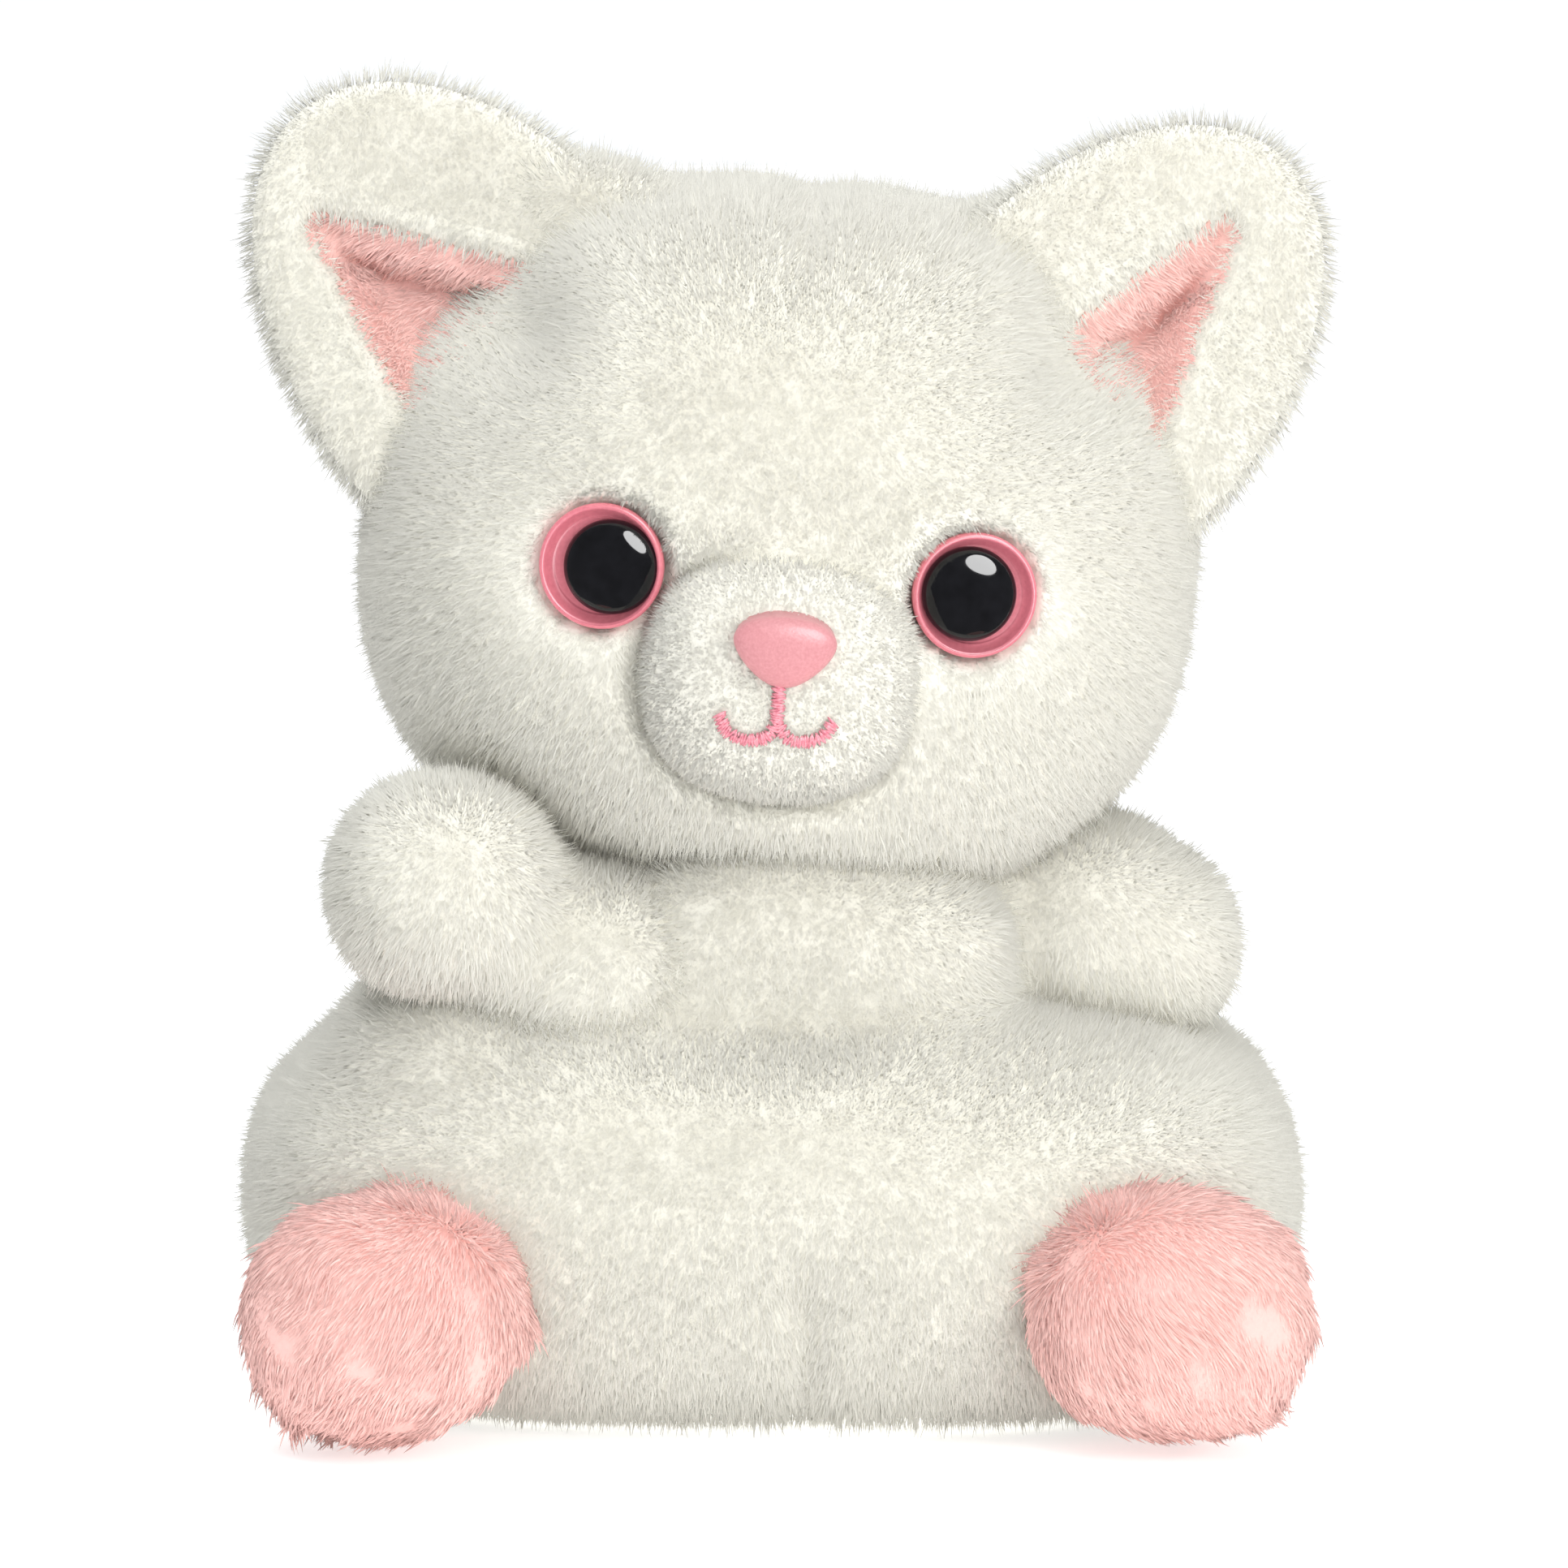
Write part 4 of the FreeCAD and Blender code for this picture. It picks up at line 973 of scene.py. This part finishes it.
def make_trunk():
    skin = melted_eggs("trunk_skin", TRUNK_FILLS, 2.1, 32, voxel=2.2, rounds=5,
                       forms=[seat_form(), torso_form()])
    points = points_of(skin)
    seams = (np.abs(points[:, 1] - SIDE_SEAM) < 1.3) | (points[:, 2] < 1.5) | (points[:, 2] > 54)
    seams |= (np.abs(points[:, 0] - SEAM_X) < 1.2) & (points[:, 1] < -25) & (points[:, 2] < 16)
    inflate(skin, seams, most=1.8, pressure=60.0)
    subdivide(skin)
    points = points_of(skin)
    front = ease(-10, -28, points[:, 1])
    fold = np.exp(-((points[:, 0] - SEAM_X) / 1.8) ** 2) * front * ease(20, 8, points[:, 2])
    points[:, 1] += 1.2 * fold
    points += waves(points, 26, 3) * 0.35
    points[:, 2] = np.maximum(points[:, 2], 0.5)
    move_points(skin, points)
    settle(skin, "trunk", "white_plush", "seat_front_cover", "seat_back_cover", "seat_base_panel",
           "torso_front_cover", "torso_back_cover", fill=0.7)

    def wanted(spots, outward):
        under = (outward[:, 2] < -0.8) & (spots[:, 2] < 2)
        inside_head = ((to_head(spots) / (HEAD_HALF - 4)) ** 2).sum(1) < 1
        return ~under & ~inside_head

    def comb(spots, outward):
        return np.tile([0.0, 0.0, -0.35], (len(spots), 1))

    for name, part, seed in (
            ("trunk_left_pile", lambda s: (s[:, 0] < 0) & (s[:, 1] < SIDE_SEAM), 41),
            ("trunk_right_pile", lambda s: (s[:, 0] >= 0) & (s[:, 1] < SIDE_SEAM), 42),
            ("trunk_back_pile", lambda s: s[:, 1] >= SIDE_SEAM, 43)):
        grow(name, skin, "trunk", comb, seed, **WHITE_PILE,
             keep=lambda s, n, part=part: wanted(s, n) & part(s))


# ---- limbs

ARM_FORMS = {LEFT: [((10.4, 9.6, 9.9), (-31.6, -20.6, 52.2)),        # the paw, then the sleeve
                    ((8.6, 8.6, 8.4), (-23.8, -17.0, 46.2)),
                    ((10.6, 9.8, 10.2), (-17.4, -16.2, 43.0)),
                    ((9.0, 10.0, 10.0), (-13.0, -8.0, 45.0))],
             RIGHT: [((10.4, 9.8, 10.2), (29.6, -3.5, 46.0)),
                     ((8.8, 8.8, 8.8), (34.6, -3.5, 44.4)),
                     ((11.0, 10.0, 10.6), (19.0, -3.0, 45.0))]}


def make_arm(side):
    name = side_name(side) + "_arm"
    skin = melted_eggs(name + "_skin", ARM_FORMS[side], 2.15, 30, voxel=1.1, rounds=5)
    settle(skin, name, "white_plush", name + "_cover", fill=0.7)
    grow(name + "_pile", skin, name, combed((side * 0.3, 0, -1), 0.45), 51 + side, **WHITE_PILE)
    return skin


def make_foot(side):
    name = side_name(side) + "_foot"
    low, high = box_mm(name + "_front_cover", name + "_back_cover")
    half = (high - low) / 2 - [0.7, 1.4, 0.8]
    points, quads = egg(half, 2.15, 44)
    points += (low + high) / 2 + [-0.5 if side == RIGHT else 0.3, 0, 1.0]
    points += waves(points, 12, 7 + side) * 0.25
    points[:, 2] = np.maximum(points[:, 2], 0.6)
    skin = make_object(name + "_skin", points, quads, PINK_CLOTH)
    settle(skin, name, "pink_plush", name + "_front_cover", name + "_back_cover", fill=0.8)
    grow(name + "_pile", skin, name, combed((side * 0.6, 0, -1), 1.5), 61 + side, **FOOT_PILE)
    return skin


def make_tail():
    root = pivot("tail_swing")
    _, high = box_mm("tail_cover")
    forms = []
    for share in np.linspace(0, 1, 18):
        ball, quads = egg(np.full(3, 4.6 - 0.9 * share), 2.0, 16)
        spot = np.array([1.5 * math.sin(share * 2.2), root[1] + 0.2 + 0.9 * math.sin(share * 3),
                         root[2] + share * (high[2] - root[2] - 5)])
        forms.append((ball + spot, quads))
    for spot in ([0, 39.5, root[2] - 1.5], [0, 43, root[2] - 0.8]):
        ball, quads = egg(np.full(3, 4.3), 2.0, 16)
        forms.append((ball + spot, quads))
    skin = melt("tail_skin", forms, voxel=0.8, rounds=6)
    settle(skin, "tail", "white_plush", "tail_cover", fill=0.8)
    grow("tail_pile", skin, "tail", combed((0, 0, 1), 0.5), 71, **WHITE_PILE)
    return skin


# ---- what is inside

COVER = 2.2             # a cover's thickness, with room
THREAD_RADIUS = 0.27    # of one ply at the neck
THREAD_TWISTS = 40
PAD_OUTSIDE, PAD_INSIDE = 16.4, 15.3    # the neck pad's radii about the head's pivot


def make_filling(name, form, node, body, seed):
    """Fluffy polyester in the shape of the room it fills."""
    points, faces = form
    points = points + waves(points, 5, seed) * 0.25 + waves(points, 1.5, seed + 1) * 0.08
    filling = make_object(name, points, faces, FILLING)
    settle(filling, body, "stuffing", node)


def inside_of(skin, less):
    """A skin's own shape, smaller by a cover's thickness."""
    points = points_of(skin) - normals_of(skin) * less
    sides = len(skin.data.polygons[0].vertices)
    faces = np.empty(len(skin.data.polygons) * sides, np.int32)
    skin.data.polygons.foreach_get("vertices", faces)
    return points, faces.reshape(-1, sides)


def make_fillings(skins):
    for name, skin in skins.items():
        body = "head" if name == "muzzle" else name
        make_filling(name + "_filling", inside_of(skin, COVER), name + "_stuffing", body, 101)
    make_filling("torso_filling", torso_form(2.6), "torso_stuffing", "trunk", 103)
    low, high = box_mm("bean_pouch")
    pouch, pouch_faces = egg((high - low) / 2 - 0.2, 2.2, 36)
    seam = np.exp(-(pouch[:, 2] / 0.6) ** 2)
    pouch = pouch * (1 + 0.03 * seam)[:, None] + waves(pouch, 7, 105) * 0.35 + (low + high) / 2
    room = (pouch + unit(pouch - (low + high) / 2) * 0.4, pouch_faces[:, ::-1])
    points, faces = seat_form(3.0)
    points[:, 2] = np.maximum(points[:, 2], 2.6)
    make_filling("seat_filling", join_forms([(points, faces), room]), "seat_stuffing", "trunk", 104)
    lining = (pouch - unit(pouch - (low + high) / 2) * 0.45, pouch_faces[:, ::-1])
    bag = make_object("pouch_bag", *join_forms([(pouch, pouch_faces), lining]), POUCH_CLOTH)
    settle(bag, "trunk", "pouch_cloth", "bean_pouch", fill=0.6)


def make_neck():
    """A pad of filling over the torso's top, and a doubled thread drawn round the neck."""
    root = pivot("head_nod")
    turns = np.linspace(0, math.radians(68), 14)
    inner, outer = ([(radius * math.sin(turn), radius * math.cos(turn)) for turn in turns]
                    for radius in (PAD_INSIDE, PAD_OUTSIDE))
    points, faces = lathe([(0, inner[0][1])] + inner[1:] + outer[:0:-1] + [(0, outer[0][1])], 72)
    pad = make_object("neck_pad_filling", points + waves(points, 3, 111) * 0.12 + root, faces, FILLING)
    settle(pad, "neck", "stuffing", "neck_pad", fill=0.4)
    low, high = box_mm("neck_gathering_thread")
    centre, radius = (low + high) / 2, (high[0] - low[0]) / 2 - 0.6
    angle = np.linspace(0, 2 * math.pi, 361)
    plies = []
    for start in (0, math.pi):
        twist = angle * THREAD_TWISTS + start
        reach = radius + 0.26 * np.cos(twist)
        path = np.column_stack([reach * np.cos(angle), reach * np.sin(angle), 0.26 * np.sin(twist)])
        plies.append(tube(path + centre, THREAD_RADIUS, 8))
    thread = make_object("neck_thread_plies", *join_forms(plies), SEWING_THREAD)
    settle(thread, "neck_thread", "sewing_thread", "neck_gathering_thread")


def make_label():
    """A blank satin care label, sewn in at its top edge and curling away at its foot."""
    low, high = box_mm("care_label")
    u, v = np.meshgrid(np.linspace(0, 1, 15), np.linspace(0, 1, 21), indexing="ij")
    down = 1 - v
    depth = low[1] - 3.0 + 3.4 * down + 0.5 * np.sin(u * math.pi) * down
    points = np.stack([low[0] + u * (high[0] - low[0]), depth, low[2] + v * (high[2] - low[2])], -1)
    quads = grid_quads(np.arange(u.size).reshape(u.shape))[:, [0, 3, 2, 1]]
    label = make_object("care_label_tag", points.reshape(-1, 3), quads, LABEL)
    thicken(label, 0.25)
    settle(label, "trunk", "label_satin", "care_label")


def finish_nodes():
    """Give the CAD nodes that stay a better material."""
    for node, material in (("bean_pellets", PELLET), ("left_eye_washer", WASHER),
                           ("right_eye_washer", WASHER), ("nose_washer", WASHER)):
        for slot in bpy.data.objects[node].material_slots:
            slot.material = material


# ---- stage

AMBIENT = 0.70
GLOSSY_AMBIENT = AMBIENT * 0.3
BACKDROP = 1.05         # how bright the room is where the camera sees it
CAMERA_DISTANCE = 1.15
CAMERA_ELEVATION = math.radians(7.5)
SENSOR = 36             # millimetres
VIEW_WIDTH, AIM_HEIGHT = 1.191, 0.4665      # as shares of the cat's height
FLOOR_HALF = 1500.0     # millimetres
# name: place from the cat's middle in metres, size, power, colour
LIGHTS = {"key": ((0.45, -0.51, 0.315), 0.34, 1.5, (1, 0.985, 0.96)),
          "front": ((0.3, -0.95, -0.02), 0.8, 1.9, (0.98, 0.99, 1.0)),
          "top": ((-0.1, -0.12, 0.75), 0.55, 2.5, (0.97, 0.985, 1.0)),
          "top_box": ((0.34, -0.38, 0.47), 0.58, 15.0, (1, 1, 1))}
SPARKLE = "top_box"     # the one light that glossy surfaces mirror


def place_facing(name, data, place, target):
    """A lamp or camera at a place, turned to a target."""
    item = bpy.data.objects.new(name, data)
    item.location = place
    item.rotation_euler = (Vector(target) - Vector(place)).to_track_quat("-Z", "Y").to_euler()
    STAGE.collection.objects.link(item)
    return item


def make_camera(tall):
    camera = configure(bpy.data.cameras.new("camera"), sensor_width=SENSOR,
                       lens=SENSOR * CAMERA_DISTANCE / (tall * VIEW_WIDTH))
    aim = Vector((0.0005, 0, tall * AIM_HEIGHT))
    way = Vector((0, -math.cos(CAMERA_ELEVATION), math.sin(CAMERA_ELEVATION)))
    bpy.context.scene.camera = place_facing("camera", camera, aim + CAMERA_DISTANCE * way, aim)


def make_world():
    """A pale room, dimmer in reflections than as light, and white where the camera sees it."""
    world = bpy.data.worlds.new("studio")
    world.use_nodes = True
    STAGE.world = world
    tree = world.node_tree
    rays = add_node(tree, "LightPath").outputs
    glossy = add_node(tree, "Mix", Factor=rays["Is Glossy Ray"], A=AMBIENT, B=GLOSSY_AMBIENT)
    seen = add_node(tree, "Mix", Factor=rays["Is Camera Ray"], A=glossy.outputs["Result"], B=BACKDROP)
    feed(tree, tree.nodes["Background"], Color=(0.96, 0.98, 1.0, 1), Strength=seen.outputs["Result"])


def make_stage():
    tall = cad_box[1][2] - cad_box[0][2]
    make_camera(tall)
    corners = np.array([[-1, -1, 0], [1, -1, 0], [1, 1, 0], [-1, 1, 0]]) * FLOOR_HALF
    floor = make_object("floor", corners, [(0, 1, 2, 3)], PAPER)
    floor.visible_glossy = False
    make_world()
    centre = np.array([0, 0, tall / 2])
    for name, (place, size, power, colour) in LIGHTS.items():
        light = configure(bpy.data.lights.new(name, "AREA"), shape="DISK", size=size, energy=power,
                          color=colour)
        configure(place_facing(name, light, centre + place, centre), visible_glossy=name == SPARKLE,
                  visible_diffuse=name != SPARKLE)
    STAGE.view_settings.view_transform = "Standard"


skins = {}
skins["head"], skins["muzzle"] = make_head()
for side in SIDES:
    make_ear(side)
    skins[side_name(side) + "_arm"] = make_arm(side)
    skins[side_name(side) + "_foot"] = make_foot(side)
make_trunk()
skins["tail"] = make_tail()
make_fillings(skins)
make_neck()
make_label()
finish_nodes()
make_stage()
